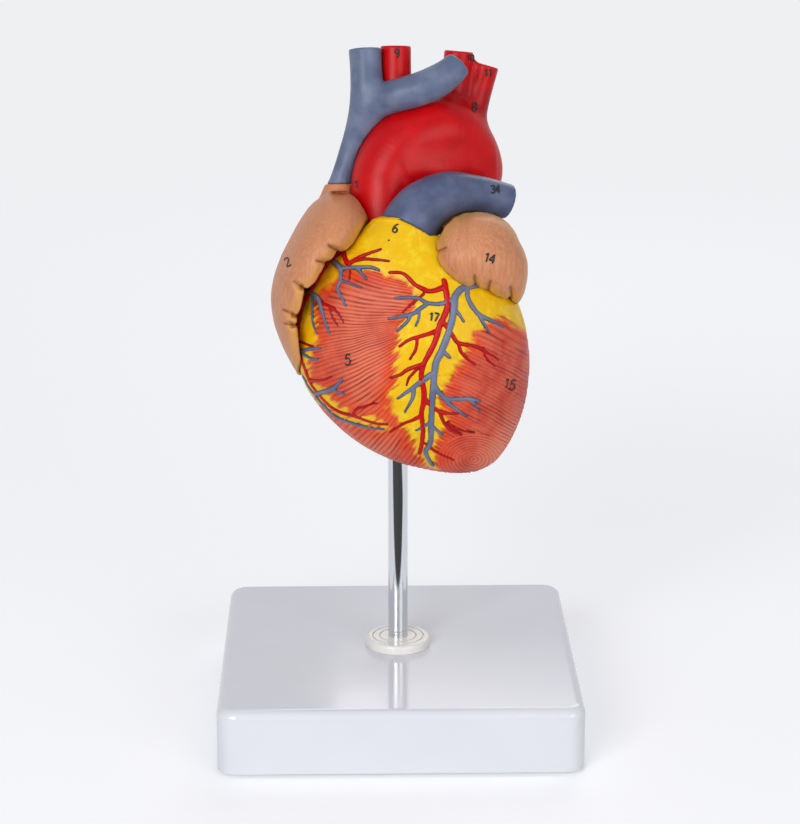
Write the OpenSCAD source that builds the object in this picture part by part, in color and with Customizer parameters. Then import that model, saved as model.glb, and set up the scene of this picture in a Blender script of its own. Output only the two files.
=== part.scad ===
// Human heart anatomy model on a pole stand. Millimetres, +Z up, origin under the base's centre.
// The viewer stands on the -Y side. The heart leans back, and its front wall lifts off forwards.

/* [Base] */
// Width of the base, left to right
base_w = 130; // [110:1:170]
// Depth of the base, front to back
base_d = 130; // [110:1:170]
// Height of the base above the table, feet included
base_h = 24.6; // [20:0.2:32]
// Radius of the base's upright corners
base_corner_r = 7; // [5:0.5:12]
// Radius of the rounded top edge
base_edge_r = 3.5; // [2:0.5:4.5]
// Wall of the moulded base
base_wall = 2.6; // [2:0.2:3.4]
// Height of the ribs under the top plate
rib_h = 7; // [4:0.5:10]
// Diameter of each rubber foot
foot_d = 12; // [8:0.5:16]
// How far each foot stands proud of the base's rim
foot_stand = 1.2; // [0.8:0.1:2]
// Depth of the seat that each foot is glued into
foot_seat = 1.5; // [1:0.1:2]
// Distance from the base's side to a foot's centre
foot_inset = 11; // [10:0.5:16]

/* [Pole] */
// Diameter of the chromed pole
pole_d = 7.2; // [6:0.1:9]
// Radial clearance where the pole turns in the collar
pole_fit = 0.05; // [0.02:0.01:0.1]
// Diameter of the collar
collar_d = 24; // [20:0.5:30]
// Height of the collar above the base
collar_h = 3.4; // [3:0.2:5]
// Length of the collar's spigot inside the base
spigot_len = 9; // [7:0.5:12]
// Wall of the collar's spigot
spigot_wall = 2.4; // [2:0.1:3.5]
// Bare length of pole between the collar and the heart
pole_show = 72.8; // [60:0.2:90]
// Depth to which the pole enters the heart
socket_depth = 22; // [16:1:28]
// Wall of the metal sleeve in the heart
socket_wall = 1.5; // [1:0.1:2]
// Diameter of the washer under the pole
washer_d = 16; // [14.5:0.5:18]
// Thickness of the washer
washer_t = 1.2; // [0.8:0.1:1.6]
// Diameter of the screw's head
screw_head_d = 7; // [6:0.5:9]
// Height of the screw's head
screw_head_h = 2.6; // [2:0.2:3]
// Diameter of the screw's shank
screw_d = 3; // [2.5:0.1:3.5]
// Length of the screw's shank inside the pole
screw_len = 12; // [8:1:16]

/* [Heart] */
// Angle by which the heart leans back
heart_tilt = 13; // [5:1:20]
// Gap between the front wall and the rest of the heart
parting_gap = 0.3; // [0.2:0.05:0.6]
// Hairline between pieces that are glued together
seam = 0.1; // [0.05:0.01:0.2]
// Wall of the atria
atrium_wall = 3; // [2:0.2:4]
// Wall of the great vessels
vessel_wall = 2; // [1.4:0.1:2.6]
// Height by which the coronary arteries stand out
artery_relief = 1.1; // [0.6:0.1:1.6]
// Height by which the cardiac veins stand out
vein_relief = 1.2; // [0.6:0.1:1.6]

/* [Fixings between the two halves] */
// Diameter of each magnet
magnet_d = 5; // [4:0.5:5.5]
// Thickness of each magnet
magnet_t = 2; // [1.5:0.5:3]
// Clearance round each magnet
magnet_fit = 0.1; // [0.05:0.05:0.2]
// Diameter of each locating pin
pin_d = 3.6; // [3:0.2:4.4]
// Length by which a locating pin stands out
pin_len = 5; // [3:0.5:7]
// Depth to which a locating pin is glued into the front wall
pin_root = 4; // [3:0.5:6]
// Clearance round each locating pin
pin_fit = 0.25; // [0.2:0.05:0.4]

/* [Hidden] */

$fn = 48;
tiny = 0.01;
far = 200;
// Facets round a body, a chamber, a great vessel and a branch
body_sides = 26;
chamber_sides = 20;
vessel_sides = 16;
branch_sides = 14;
// Half width that a body keeps where it is shrunk to nothing
least_half = 0.5;
// Length by which a cutter runs past what it cuts
over = 1;
// Depth of the ventricles' skin that the septum stops short of
septum_inset = 9;
// Wall of the boss round the pole's socket, and how far its cutters reach below the heart
socket_boss_wall = 3;
socket_overrun = 20;
// Valves: width and height of the ring, thickness of a flap
rim_w = 2;
rim_h = 2.4;
flap_t = 1.2;
// How far a flap's root reaches out into its ring and up from the ring's bottom,
// and how much lower the root's inner edge lies
root_out = 0.7;
root_up = 0.6;
root_drop = 0.25;
// Clearance of the aortic valve's ring in the faceted aorta
valve_fit = 0.35;
// Height of a vessel's crowned end, as a share of its radius
end_crown = 0.08;
// Valves between the chambers: radius and length of the bore, then how far the flaps hang
// and the half width that their tips leave open
tricuspid_r = 8.5;
tricuspid_bore = 23;
tricuspid_drop = 9;
tricuspid_opening = 4.5;
mitral_r = 8;
mitral_bore = 22;
mitral_drop = 9;
mitral_opening = 4;
// The same for the valves in the two great arteries
artery_valve_drop = 4;
aortic_opening = 3.1;
pulmonary_opening = 2.5;

// ---- Colours ----
white_plastic = [0.95, 0.95, 0.96];
chrome = [0.8, 0.8, 0.82];
artery_red = [0.78, 0.08, 0.1];
vein_blue = [0.42, 0.47, 0.58];
muscle_red = [0.8, 0.32, 0.25];
flesh = [0.83, 0.6, 0.48];
valve_cream = [0.93, 0.85, 0.72];

// ---- Stand: heights worked out from the driving sizes ----
foot_h = foot_stand + foot_seat;
rim_z = foot_stand;
plate_z = base_h - base_wall;
collar_top = base_h + collar_h;
spigot_d = pole_d + 2 * (pole_fit + spigot_wall);
spigot_z = base_h - spigot_len;
boss_d = spigot_d + 2 * base_wall;
pole_bottom = spigot_z;
neck_end = 33.5;
heart_foot_z = collar_top + pole_show;
pole_top = heart_foot_z + socket_depth;
socket_gap = 0.2;
socket_r = pole_d / 2 + pole_fit + socket_wall;
socket_top = pole_top + socket_gap + socket_wall;

// ---- Heart frame: X is right, Y is up along the heart, Z is towards the viewer ----
// Each form is a list of rows. A body's row is [height, left, right, back, front].
// A vessel's row is [x, y, z, radius].
foot_reach = 62.5;
heart_z = heart_foot_z + foot_reach / cos(heart_tilt);

ventricle_rows = [
    [-70.6, 16.5, 26.5, -6, 1], [-69.4, 9.5, 30.3, -12, 6], [-66.5, -1, 35, -17.5, 11],
    [-62, -10.6, 38.7, -22, 15.5], [-56, -19.2, 42, -26, 20], [-48, -27.2, 45, -29.5, 25],
    [-39, -33.1, 46.7, -31.5, 28.5], [-29, -36.2, 47.2, -32.5, 31], [-19, -37, 45.9, -33, 32.5],
    [-9, -36, 42.8, -32.5, 32.5], [0, -32, 38.5, -30.5, 30.5], [8, -26, 33, -27, 27.5],
    [14, -18.5, 25.5, -22, 23.5], [18, -10, 17, -16, 19], [20, -4, 10, -10, 14]
];
conus_rows = [[-7, -8, 10, 18], [-4, 2, 12, 16], [-0.5, 10, 13.5, 13], [3.3, 16.5, 14, 10.6]];
conus_lumen_rows = [[-9, -10, 8, 13], [-6, 0, 11, 11], [-1.5, 9, 14, 9.4], [3.3, 16.5, 14, 8.6]];
right_cavity_rows = [
    [-50, -14, -6, -4, 8], [-47, -20, -2, -10, 15], [-40, -26.5, 3, -17, 21],
    [-30, -29.5, 5, -21, 25], [-19, -31, 5, -22.5, 26.5], [-9, -30, 3, -22, 26],
    [0, -26, 2, -19, 23], [6, -20, 2, -13, 18], [8, -16, 0, -8, 12]
];
left_cavity_rows = [
    [-61, 22, 31, -6, 4], [-58, 19, 35, -11, 9], [-50, 15.5, 38, -17, 16],
    [-39, 14, 39.2, -20.5, 20.5], [-27, 13.5, 38.8, -22, 22], [-15, 13, 36, -22, 20],
    [-5, 12.5, 32, -20, 15], [1, 13, 28, -16, 9], [3, 16, 25, -12, 4]
];
right_atrium_rows = [
    [-34.4, -36.5, -32, -12, 2], [-30, -38.4, -29, -20, 12], [-24, -41.3, -26, -26, 19],
    [-16, -44, -24, -30, 24.5], [-8, -45, -20, -32, 28], [0, -43.9, -16, -33, 30],
    [8, -41, -13, -32, 31], [14, -38, -10.5, -30, 30], [20, -34.6, -9.5, -27, 26.5],
    [25, -31, -12, -22, 21], [28.4, -27, -15, -17, 14], [29.8, -24.4, -18, -12, 8]
];
right_atrium_cavity_rows = [
    [-20, -38.5, -35, -18, 4], [-14, -40.4, -32, -25, 14], [-6, -41.4, -29, -28, 19],
    [2, -40.2, -26, -29, 22], [10, -37, -21, -28, 22], [17, -33.4, -18, -24, 19],
    [22, -29.6, -19, -19, 13], [25, -27, -21, -14, 6]
];
left_atrium_rows = [
    [-6, 4, 24, -35, -24], [-3, -3, 30, -39, -18], [2, -9, 35, -41.5, -14],
    [9, -12, 37, -42.5, -12], [16, -12, 37, -41.5, -10.5], [22, -9, 33.5, -37, -11],
    [26, -3, 27, -31, -14], [27.6, 4, 20, -26, -18]
];
left_auricle_rows = [
    [-10.4, 39.5, 42.2, 3, 10], [-8, 33, 43.8, 0, 18], [-4, 18, 45, -4, 27],
    [1, 13, 45.5, -6, 32], [6, 11.8, 45.2, -7, 34], [12, 12.8, 43, -7, 33],
    [17, 16, 39.6, -6, 29.5], [20.6, 19, 35.4, -4, 25], [22.8, 22.5, 30.5, -1, 18]
];
aorta_rows = [
    [10, -4, -4, 8.5], [3, 4, -3.5, 10.2], [-3, 12, -3, 11.3], [-5, 20, -3, 11.6],
    [-4.9, 28, -3, 11.7], [-4.2, 36.5, -4, 11.9], [0.7, 45.3, -5.5, 12.6], [8.7, 50.8, -8, 12.7],
    [17.5, 51.6, -11, 12], [24.4, 47, -14.5, 10.8], [27.4, 39.5, -17, 10.1], [27.8, 33, -18, 9.6]
];
// Solid web that fills the hollow of the arch
arch_web_rows = [[5, 38, -6, 7], [14, 39.5, -7.5, 8.5], [23, 40.5, -12, 8]];
brachiocephalic_rows = [[1, 54, -9, 7], [-0.2, 64, -8, 5.8], [-0.3, 82.8, -7, 5.5]];
carotid_rows = [[17, 55, -12, 7], [20.6, 66, -12, 5.3], [22.2, 79.6, -11, 5.2]];
subclavian_rows = [[24.5, 51, -14, 7], [28.4, 62.5, -14, 5.1], [31.6, 74.3, -13, 4.7]];
cava_rows = [
    [-20.3, 33.6, -8, 4.4], [-18.7, 39, -8, 4], [-16.8, 44.5, -8, 4.2], [-13.7, 51.5, -6.5, 5.2],
    [-11.3, 59, -4, 6], [-10.7, 66, -3, 6], [-11, 74, -3, 5.7], [-11.4, 81.6, -3, 5.8]
];
left_vein_rows = [
    [-9.5, 60, -3, 5.2], [-4, 63.4, 0, 5.8], [2, 65, 2.5, 5.9], [8, 66.7, 3.5, 6],
    [14, 69.3, 3.5, 5.9], [18.5, 72.3, 3, 5.4], [22, 75.8, 2, 4.8]
];
neck_rows = [[-23.4, 20, -8, 7], [-22, 27, -8, 6.2], [-20.4, 33.4, -8, 4.9]];
neck_lumen_rows = [[-23.4, 18, -8, 4], [-22, 27, -8, 3.6], [-20.3, 34.6, -8, 2.6]];
inferior_cava_rows = [[-30, -8, -20, 7.5], [-28.5, -20, -27, 7.6], [-27, -34, -31, 7.4]];
trunk_rows = [
    [3.4, 16.7, 14, 10.5], [5.6, 20.8, 14, 10], [9.3, 25, 13, 9.3], [17.4, 29.2, 10, 8.1],
    [27, 29.4, 5.5, 6.8], [34, 28, 2.5, 6.3], [40.6, 26, 0, 6.1]
];
right_branch_rows = [[9, 32.4, -19.5, 6.4], [-3, 32, -22.5, 6.6], [-16, 31, -23, 6.2]];
pulmonary_vein_rows = [
    [[28, 12, -27, 5.4], [35, 14.4, -27, 5], [40.4, 15.6, -27, 4.8]],
    [[28, 4, -31, 5.2], [35, 2, -33, 5], [40, 0.6, -34, 4.7]],
    [[-4, 15, -34, 5.2], [-12, 17, -36, 5], [-19, 18.6, -37, 4.8]],
    [[-4, 5, -36, 5.2], [-12, 4.4, -39, 4.9], [-19, 3.6, -40, 4.7]]
];

// Inner edge of the right auricle, with a notch between each pair of lobes
right_auricle_edge = [
    [-60, -42], [-60, 45], [-18, 45], [-10.6, 24], [-10.4, 19.5], [-13, 15.5], [-17.5, 11.2],
    [-21.6, 9.6], [-23.6, 11.8], [-23.8, 8.6], [-25.4, 6.6], [-27.6, 7], [-26.4, 4.5],
    [-28.2, 1], [-31, -2.2], [-34.6, -2.3], [-33.6, -5], [-34.6, -9], [-35.6, -12],
    [-38.4, -12.2], [-36, -14.4], [-35.9, -19], [-35.5, -23.4], [-34.8, -31], [-33, -42]
];
lobe_round = 1.5;
septum_outline = [
    [2.5, -4], [13.5, -4], [13.6, -28], [14.8, -44], [17, -53], [21, -62], [4, -62],
    [-4, -50], [1, -43], [4.6, -34], [5.4, -20]
];

// Branches of the coronary arteries on the front: lists of [x, y, radius], trunk first
front_arteries = [
    [[14.6, 0.5, 1], [16.2, -4.6, 1], [16.7, -10.4, 1], [13.9, -17.2, 0.95], [12, -23.4, 0.95],
        [8.4, -30, 0.9], [7.6, -34, 0.9], [8.5, -41, 0.85], [7.6, -47.8, 0.8], [8.1, -54.4, 0.8],
        [6.8, -61.4, 0.7]],
    [[15.4, -3.4, 0.9], [12.6, -4.5, 0.85], [9.6, -4.5, 0.8], [5.6, -2.4, 0.7], [1.4, 1.4, 0.6],
        [-3.4, 1.8, 0.5]],
    [[13.6, -18.4, 0.8], [7, -20.6, 0.7], [3.4, -21.6, 0.6], [0, -24, 0.5]],
    [[6.2, -20.9, 0.6], [5.6, -25, 0.55], [3.6, -28.4, 0.45]],
    [[8.2, -30.2, 0.8], [3, -32, 0.7], [0, -34, 0.55], [-3.2, -35, 0.45]],
    [[7.4, -48.4, 0.8], [4.4, -49.6, 0.7], [0.6, -51.4, 0.6], [-3.6, -54, 0.45]],
    [[15, -14.8, 0.8], [18.6, -20.4, 0.75], [20.8, -23, 0.7], [27.8, -24.6, 0.6], [34.4, -29, 0.45]],
    [[20.6, -22.8, 0.65], [21.8, -26.6, 0.6], [26.4, -30.6, 0.45]],
    [[8.8, -42.6, 0.75], [13.6, -46.8, 0.7], [20.2, -47.6, 0.5]],
    [[13.8, -46.9, 0.65], [16.4, -52, 0.6], [21.4, -55, 0.45]],
    [[9, -58, 0.6], [13, -61.2, 0.6], [18.6, -63.8, 0.45]],
    [[-19.3, 9.6, 1], [-23.4, 6.6, 1], [-26.4, 2.2, 1], [-30.2, -3.8, 1], [-33.2, -9, 0.95],
        [-34.8, -15, 0.9], [-35.2, -21, 0.85], [-33.8, -29, 0.85], [-31.2, -36, 0.8],
        [-27.2, -41.8, 0.75], [-22.6, -46, 0.75], [-15.6, -48.4, 0.7], [-8, -50.8, 0.6],
        [-4.4, -51.2, 0.45]],
    [[-19.6, 9.4, 1], [-18, 5.2, 0.9], [-13.6, 7.4, 0.7], [-6.4, 9.9, 0.5]],
    [[-17.4, 5.2, 0.6], [-12.4, 6.5, 0.6], [-3.6, 5.8, 0.45]],
    [[-31, -35.8, 0.7], [-26.4, -35.5, 0.6], [-23.9, -34.6, 0.45]],
    [[-16.8, -48, 0.6], [-14.2, -45.4, 0.55], [-8, -43.6, 0.45]]
];
// Branches of the cardiac veins on the front
front_veins = [
    [[26.6, -2.6, 1.2], [22.2, -3.8, 1.2], [19.6, -6.6, 1.25], [18.9, -12, 1.25], [17.4, -18, 1.2],
        [14.7, -25.6, 1.15], [12.6, -30, 1.1], [11.8, -38, 1.05], [11.1, -47, 1], [10.7, -57.4, 0.9],
        [9, -61, 0.85], [11.4, -65.7, 0.7]],
    [[23.6, -4, 0.9], [24.2, -8, 0.9], [27.5, -12.9, 0.85], [32, -15.2, 0.7], [36.4, -17.5, 0.5]],
    [[27.4, -12.8, 0.7], [29.4, -16.4, 0.6], [31.4, -19.3, 0.45]],
    [[19.4, -11, 0.7], [22.4, -15.3, 0.5]],
    [[14.8, -25.2, 0.8], [17.5, -27.9, 0.55]],
    [[19, -7.6, 0.8], [15, -9, 0.75], [10, -8.9, 0.7], [6, -7, 0.65], [-1.4, -7.1, 0.5]],
    [[10, -9, 0.75], [6.8, -11.2, 0.75], [3.6, -13, 0.7], [-3.6, -14.3, 0.5]],
    [[3.8, -13, 0.7], [2.4, -15.8, 0.6], [-0.8, -18.6, 0.45]],
    [[6.9, -11.2, 0.6], [6.6, -14.4, 0.5], [5.7, -16.8, 0.45]],
    [[11.6, -33.6, 0.95], [7, -36.8, 0.9], [3, -39.6, 0.75], [-0.8, -42.2, 0.5]],
    [[4.8, -38.6, 0.7], [4.4, -42, 0.65], [1.8, -47, 0.45]],
    [[12, -37.6, 0.9], [13.8, -40.2, 0.85], [17, -42.3, 0.8], [24, -42.5, 0.7], [28, -43.3, 0.5]],
    [[14.6, -41, 0.7], [18, -44.8, 0.65], [23.6, -48.6, 0.45]],
    [[24.4, -42.6, 0.6], [28, -46.6, 0.45]],
    [[10.8, -50.6, 0.7], [5.7, -53.3, 0.5]],
    [[10.9, -51.6, 0.7], [15, -55, 0.5]],
    [[-22.8, 5.6, 0.9], [-20.4, 3, 0.9], [-20.4, -1, 0.8], [-21.4, -4, 0.7], [-18.6, -9.6, 0.5]],
    [[-20.4, 3.1, 0.75], [-15, 3.6, 0.7], [-10, 3.6, 0.6], [-7, 2.6, 0.45]],
    [[-15, 3.4, 0.65], [-11.4, -0.4, 0.5]],
    [[-20.3, -1, 0.65], [-13.2, -3.4, 0.45]],
    [[-32.2, -3.8, 0.8], [-28.4, -7.2, 0.85], [-27.2, -11, 0.8], [-24.4, -19.3, 0.5]],
    [[-30.2, -5.8, 0.6], [-30.3, -15, 0.55], [-28.6, -19.3, 0.45]],
    [[-35.4, -25.6, 0.7], [-31, -24.7, 0.65], [-27.5, -24.6, 0.5]],
    [[-33.6, -26.4, 0.7], [-31, -28, 0.65], [-28.4, -28.2, 0.5]],
    [[-29.6, -40.4, 0.8], [-23.8, -38.9, 0.8], [-20, -35.2, 0.55]],
    [[-24, -39, 0.7], [-19.3, -40.4, 0.5]],
    [[-33.6, -34.4, 0.7], [-28.6, -42, 0.75], [-22.6, -48.2, 0.8], [-14.4, -51.4, 0.7],
        [-5.8, -52.9, 0.5]]
];
// Branches on the back of the ventricles
rear_arteries = [
    [[-30, -12, 1.1], [-20, -7.5, 1.1], [-8, -6.5, 1.05], [-2, -9, 1], [1, -20, 0.95],
        [6, -34, 0.85], [12, -48, 0.75], [18, -58, 0.6]],
    [[4, -28, 0.7], [-6, -36, 0.6], [-12, -44, 0.45]],
    [[34, -10, 1], [28, -7.5, 1], [20, -9.6, 0.9], [24, -22, 0.75], [30, -36, 0.6]],
    [[9, -41, 0.6], [18, -44, 0.5], [24, -50, 0.45]]
];
rear_veins = [
    [[37, -13, 1.1], [28, -11, 1.3], [16, -10.4, 1.6], [4, -11, 1.9], [-10, -10.6, 1.9],
        [-18, -12.4, 1.5]],
    [[5.4, -12, 1.2], [6.6, -24, 1.05], [11, -38, 0.9], [16, -52, 0.7]],
    [[8, -29, 0.7], [16, -36, 0.6], [20, -46, 0.45]],
    [[-14, -12, 0.9], [-18, -24, 0.8], [-16, -38, 0.6]],
    [[17, -11, 0.9], [15.6, -22, 0.7], [18, -30, 0.5]]
];

magnet_spots = [[43.1, -28], [-33.4, -28], [25.5, -65.2]];
pin_spots = [[9.4, -18], [9.4, -36]];

// ---- Interpolation along the rows ----
function curve(a, b, c, d, t) =
    0.5 * (2 * b + (c - a) * t + (2 * a - 5 * b + 4 * c - d) * t * t + (3 * b - a - 3 * c + d) * t * t * t);
function row_at(rows, s) =
    let (last = len(rows) - 1, i = min(floor(s), last - 1), t = s - i)
    curve(rows[max(i - 1, 0)], rows[i], rows[i + 1], rows[min(i + 2, last)], t);
function unit(v) = v / norm(v);
function centre(row) = [row[0], row[1], row[2]];

// Points round one body row, moved outwards by grow
function body_ring(rows, s, grow, sides) =
    let (
        r = row_at(rows, s),
        low = rows[0][0],
        high = rows[len(rows) - 1][0],
        mid = (low + high) / 2,
        y = mid + (r[0] - mid) * (1 + 2 * grow / (high - low)),
        half_x = max((r[2] - r[1]) / 2 + grow, least_half),
        half_z = max((r[4] - r[3]) / 2 + grow, least_half)
    )
    [for (k = [0 : sides - 1]) let (a = 360 * k / sides)
        [(r[1] + r[2]) / 2 + half_x * cos(a), y, (r[3] + r[4]) / 2 + half_z * sin(a)]];

// Points round one vessel row, turned by half a facet on every second ring.
// The end rings are pushed outwards by reach and crowned by a point on the axis.
function vessel_ring(rows, i, steps, grow, sides, reach) =
    let (
        last = len(rows) - 1,
        s = i / steps,
        r = row_at(rows, s),
        before = row_at(rows, max(s - 0.2, 0)),
        after = row_at(rows, min(s + 0.2, last)),
        along = unit(centre(after) - centre(before)),
        end = s == 0 ? -1 : s == last ? 1 : 0,
        across = unit(cross(along, [0.37, 0.29, 1])),
        up = cross(across, along)
    )
    concat(
        [for (k = [0 : sides - 1]) let (a = 360 * (k + (i % 2) / 2) / sides)
            centre(r) + along * end * reach + (r[3] + grow) * (across * cos(a) + up * sin(a))],
        end == 0 ? [] : [centre(r) + along * end * (reach + end_crown * r[3])]
    );

// Solid between two rings of points
module between(ring_a, ring_b) {
    all_points = concat(ring_a, ring_b);
    hull() polyhedron(points = all_points, faces = [[for (k = [0 : len(all_points) - 1]) k]]);
}
module body_form(rows, grow = 0, steps = 1, sides = body_sides) {
    for (i = [0 : (len(rows) - 1) * steps - 1])
        between(body_ring(rows, i / steps, grow, sides), body_ring(rows, (i + 1) / steps, grow, sides));
}
module vessel_form(rows, grow = 0, reach = 0, steps = 1, sides = branch_sides) {
    for (i = [0 : (len(rows) - 1) * steps - 1])
        between(
            vessel_ring(rows, i, steps, grow, sides, reach),
            vessel_ring(rows, i + 1, steps, grow, sides, reach)
        );
}

// ---- Heart forms ----
module heart_place() {
    translate([0, 0, heart_z]) rotate([90 - heart_tilt, 0, 0]) children();
}
// Everything in front of the parting plane, or behind it
module front_side() {
    translate([-far / 2, -far / 2, parting_gap / 2]) cube([far, far, far]);
}
module rear_side() {
    translate([-far / 2, -far / 2, -parting_gap / 2 - far]) cube([far, far, far]);
}
module ventricles(grow = 0) {
    body_form(ventricle_rows, grow);
    vessel_form(conus_rows, grow, 0, 1, body_sides);
}
module right_cavity(grow = 0) {
    body_form(right_cavity_rows, grow, 1, chamber_sides);
    vessel_form(conus_lumen_rows, grow, 1, 1, chamber_sides);
}
module left_cavity(grow = 0) {
    body_form(left_cavity_rows, grow, 1, chamber_sides);
}
module right_atrium_form(grow = 0) {
    body_form(right_atrium_rows, grow);
}
module right_atrium_cavity(grow = 0) {
    body_form(right_atrium_cavity_rows, grow, 1, chamber_sides);
}
module left_atrium_form(grow = 0) {
    body_form(left_atrium_rows, grow, 1, chamber_sides);
}
module left_auricle_form(grow = 0) {
    body_form(left_auricle_rows, grow);
}
module aorta_form(grow = 0, reach = 0) {
    vessel_form(aorta_rows, grow, reach, 1, vessel_sides);
    for (rows = [brachiocephalic_rows, carotid_rows, subclavian_rows]) vessel_form(rows, grow, reach);
}
// What the aorta takes up on its outside
module aorta_outside(grow = 0) {
    aorta_form(grow);
    vessel_form(arch_web_rows, grow);
}
module cava_form(grow = 0, reach = 0) {
    vessel_form(cava_rows, grow, reach);
    vessel_form(left_vein_rows, grow, reach);
}
module trunk_form(grow = 0, reach = 0) {
    vessel_form(trunk_rows, grow, reach, 1, vessel_sides);
}

// ---- Stand ----
module rounded_block(w, d, h, corner, edge) {
    // The top edge is a quarter round that follows the rounded corners
    translate([-w / 2, -d / 2, 0]) {
        translate([corner, 0, 0]) cube([w - 2 * corner, d, h - edge]);
        translate([0, corner, 0]) cube([w, d - 2 * corner, h - edge]);
        translate([edge, corner, 0]) cube([w - 2 * edge, d - 2 * corner, h]);
        translate([corner, edge, 0]) cube([w - 2 * corner, d - 2 * edge, h]);
        for (y = [edge, d - edge])
            translate([corner, y, h - edge]) rotate([0, 90, 0]) cylinder(r = edge, h = w - 2 * corner);
        for (x = [edge, w - edge])
            translate([x, corner, h - edge]) rotate([-90, 0, 0]) cylinder(r = edge, h = d - 2 * corner);
        for (x = [corner, w - corner], y = [corner, d - corner])
            translate([x, y, 0]) rotate_extrude() {
                square([corner, h - edge]);
                square([corner - edge, h]);
                translate([corner - edge, h - edge]) intersection() {
                    circle(r = edge);
                    square(edge);
                }
            }
    }
}
module foot_places() {
    for (x = [-1, 1], y = [-1, 1])
        translate([x * (base_w / 2 - foot_inset), y * (base_d / 2 - foot_inset), 0]) children();
}
module base_shell() {
    inner_corner = base_corner_r - base_wall;
    pad_d = foot_d + 2 * base_wall;
    color(white_plastic) difference() {
        union() {
            difference() {
                translate([0, 0, rim_z])
                    rounded_block(base_w, base_d, base_h - rim_z, base_corner_r, base_edge_r);
                translate([0, 0, -tiny]) linear_extrude(plate_z + tiny) difference() {
                    union() {
                        square([base_w - 2 * base_corner_r, base_d - 2 * base_wall], center = true);
                        square([base_w - 2 * base_wall, base_d - 2 * base_corner_r], center = true);
                        for (x = [-1, 1], y = [-1, 1])
                            translate([x * (base_w / 2 - base_corner_r), y * (base_d / 2 - base_corner_r)])
                                circle(r = inner_corner);
                    }
                    square([base_wall, base_d], center = true);
                    square([base_w, base_wall], center = true);
                    circle(d = boss_d);
                }
            }
            foot_places() translate([0, 0, rim_z]) cylinder(d = pad_d, h = plate_z - rim_z + tiny);
        }
        // The ribs are cut back to their height and the boss to the spigot's end
        translate([0, 0, rim_z - tiny]) linear_extrude(plate_z - rib_h - rim_z + tiny) difference() {
            square([base_w - 2 * foot_inset - pad_d, base_d - 2 * base_wall], center = true);
            circle(d = boss_d);
        }
        translate([0, 0, rim_z - tiny]) linear_extrude(plate_z - rib_h - rim_z + tiny) difference() {
            square([base_w - 2 * base_wall, base_d - 2 * foot_inset - pad_d], center = true);
            circle(d = boss_d);
        }
        translate([0, 0, rim_z - tiny]) cylinder(d = boss_d + 2 * over, h = spigot_z - rim_z + tiny);
        cylinder(d = spigot_d + 2 * seam, h = far);
        foot_places() cylinder(d = foot_d + 2 * seam, h = foot_h + seam);
    }
}
module rubber_feet() {
    color([0.12, 0.12, 0.12]) foot_places() cylinder(d = foot_d, h = foot_h);
}
module pole_collar() {
    groove = 0.5;
    rim = 1.2;
    color(white_plastic) difference() {
        union() {
            translate([0, 0, base_h + seam]) rotate_extrude() {
                square([collar_d / 2 - rim, collar_h - seam]);
                square([collar_d / 2, collar_h - seam - rim]);
                translate([collar_d / 2 - rim, collar_h - seam - rim]) circle(r = rim, $fn = 32);
            }
            translate([0, 0, spigot_z]) cylinder(d = spigot_d, h = spigot_len + over);
        }
        translate([0, 0, spigot_z - over]) cylinder(d = pole_d + 2 * pole_fit, h = far);
        for (share = [0.27, 0.38])
            translate([0, 0, collar_top - groove]) difference() {
                cylinder(r = collar_d * share + groove, h = collar_h);
                translate([0, 0, -over]) cylinder(r = collar_d * share, h = collar_h + 2 * over);
            }
    }
}
module support_pole() {
    chamfer = 0.8;
    color(chrome) difference() {
        translate([0, 0, pole_bottom]) rotate_extrude() polygon([
            [0, 0], [pole_d / 2, 0], [pole_d / 2, pole_top - pole_bottom - chamfer],
            [pole_d / 2 - chamfer, pole_top - pole_bottom], [0, pole_top - pole_bottom]
        ]);
        translate([0, 0, pole_bottom - over])
            cylinder(d = screw_d + 2 * pole_fit, h = screw_len + 2 * over);
    }
}
module pole_washer() {
    color(chrome) translate([0, 0, pole_bottom - seam - washer_t]) difference() {
        cylinder(d = washer_d, h = washer_t);
        translate([0, 0, -over]) cylinder(d = screw_d + 2 * pole_fit, h = washer_t + 2 * over);
    }
}
module pole_screw() {
    head_z = pole_bottom - 2 * seam - washer_t - screw_head_h;
    slot = 1;
    color(chrome) difference() {
        union() {
            translate([0, 0, head_z]) cylinder(d = screw_head_d, h = screw_head_h);
            translate([0, 0, head_z]) cylinder(d = screw_d, h = pole_bottom + screw_len - head_z);
        }
        translate([-screw_head_d, -slot / 2, head_z - over]) cube([2 * screw_head_d, slot, over + slot]);
    }
}

// ---- Rear half of the heart ----
module pole_socket() {
    color(chrome) difference() {
        translate([0, 0, heart_foot_z]) cylinder(r = socket_r, h = socket_top - heart_foot_z);
        translate([0, 0, heart_foot_z - over])
            cylinder(d = pole_d + 2 * pole_fit, h = over + socket_depth + socket_gap);
    }
}
// Solid round the pole's socket, in the stand's frame
module socket_boss() {
    socket_column(socket_boss_wall);
}
module socket_hole() {
    socket_column(seam);
}
module socket_column(grow) {
    translate([0, 0, heart_foot_z - socket_overrun])
        cylinder(r = socket_r + grow, h = socket_overrun + socket_top + grow - heart_foot_z);
}
module in_stand_frame() {
    rotate([heart_tilt - 90, 0, 0]) translate([0, 0, -heart_z]) children();
}
module septum_slab(grow = 0) {
    translate([0, 0, -far]) linear_extrude(far) offset(delta = grow) polygon(septum_outline);
}
module tricuspid_place() {
    translate([-21, 3, -11.5]) rotate([-78, -28, 0]) children();
}
module mitral_place() {
    translate([21.5, 0.5, -17]) rotate([-140, 0, 0]) children();
}
module valve_bores() {
    tricuspid_place() cylinder(r = tricuspid_r, h = tricuspid_bore, center = true);
    mitral_place() cylinder(r = mitral_r, h = mitral_bore, center = true);
}
module spots(places) {
    for (p = places) translate([p[0], p[1], 0]) children();
}
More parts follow.
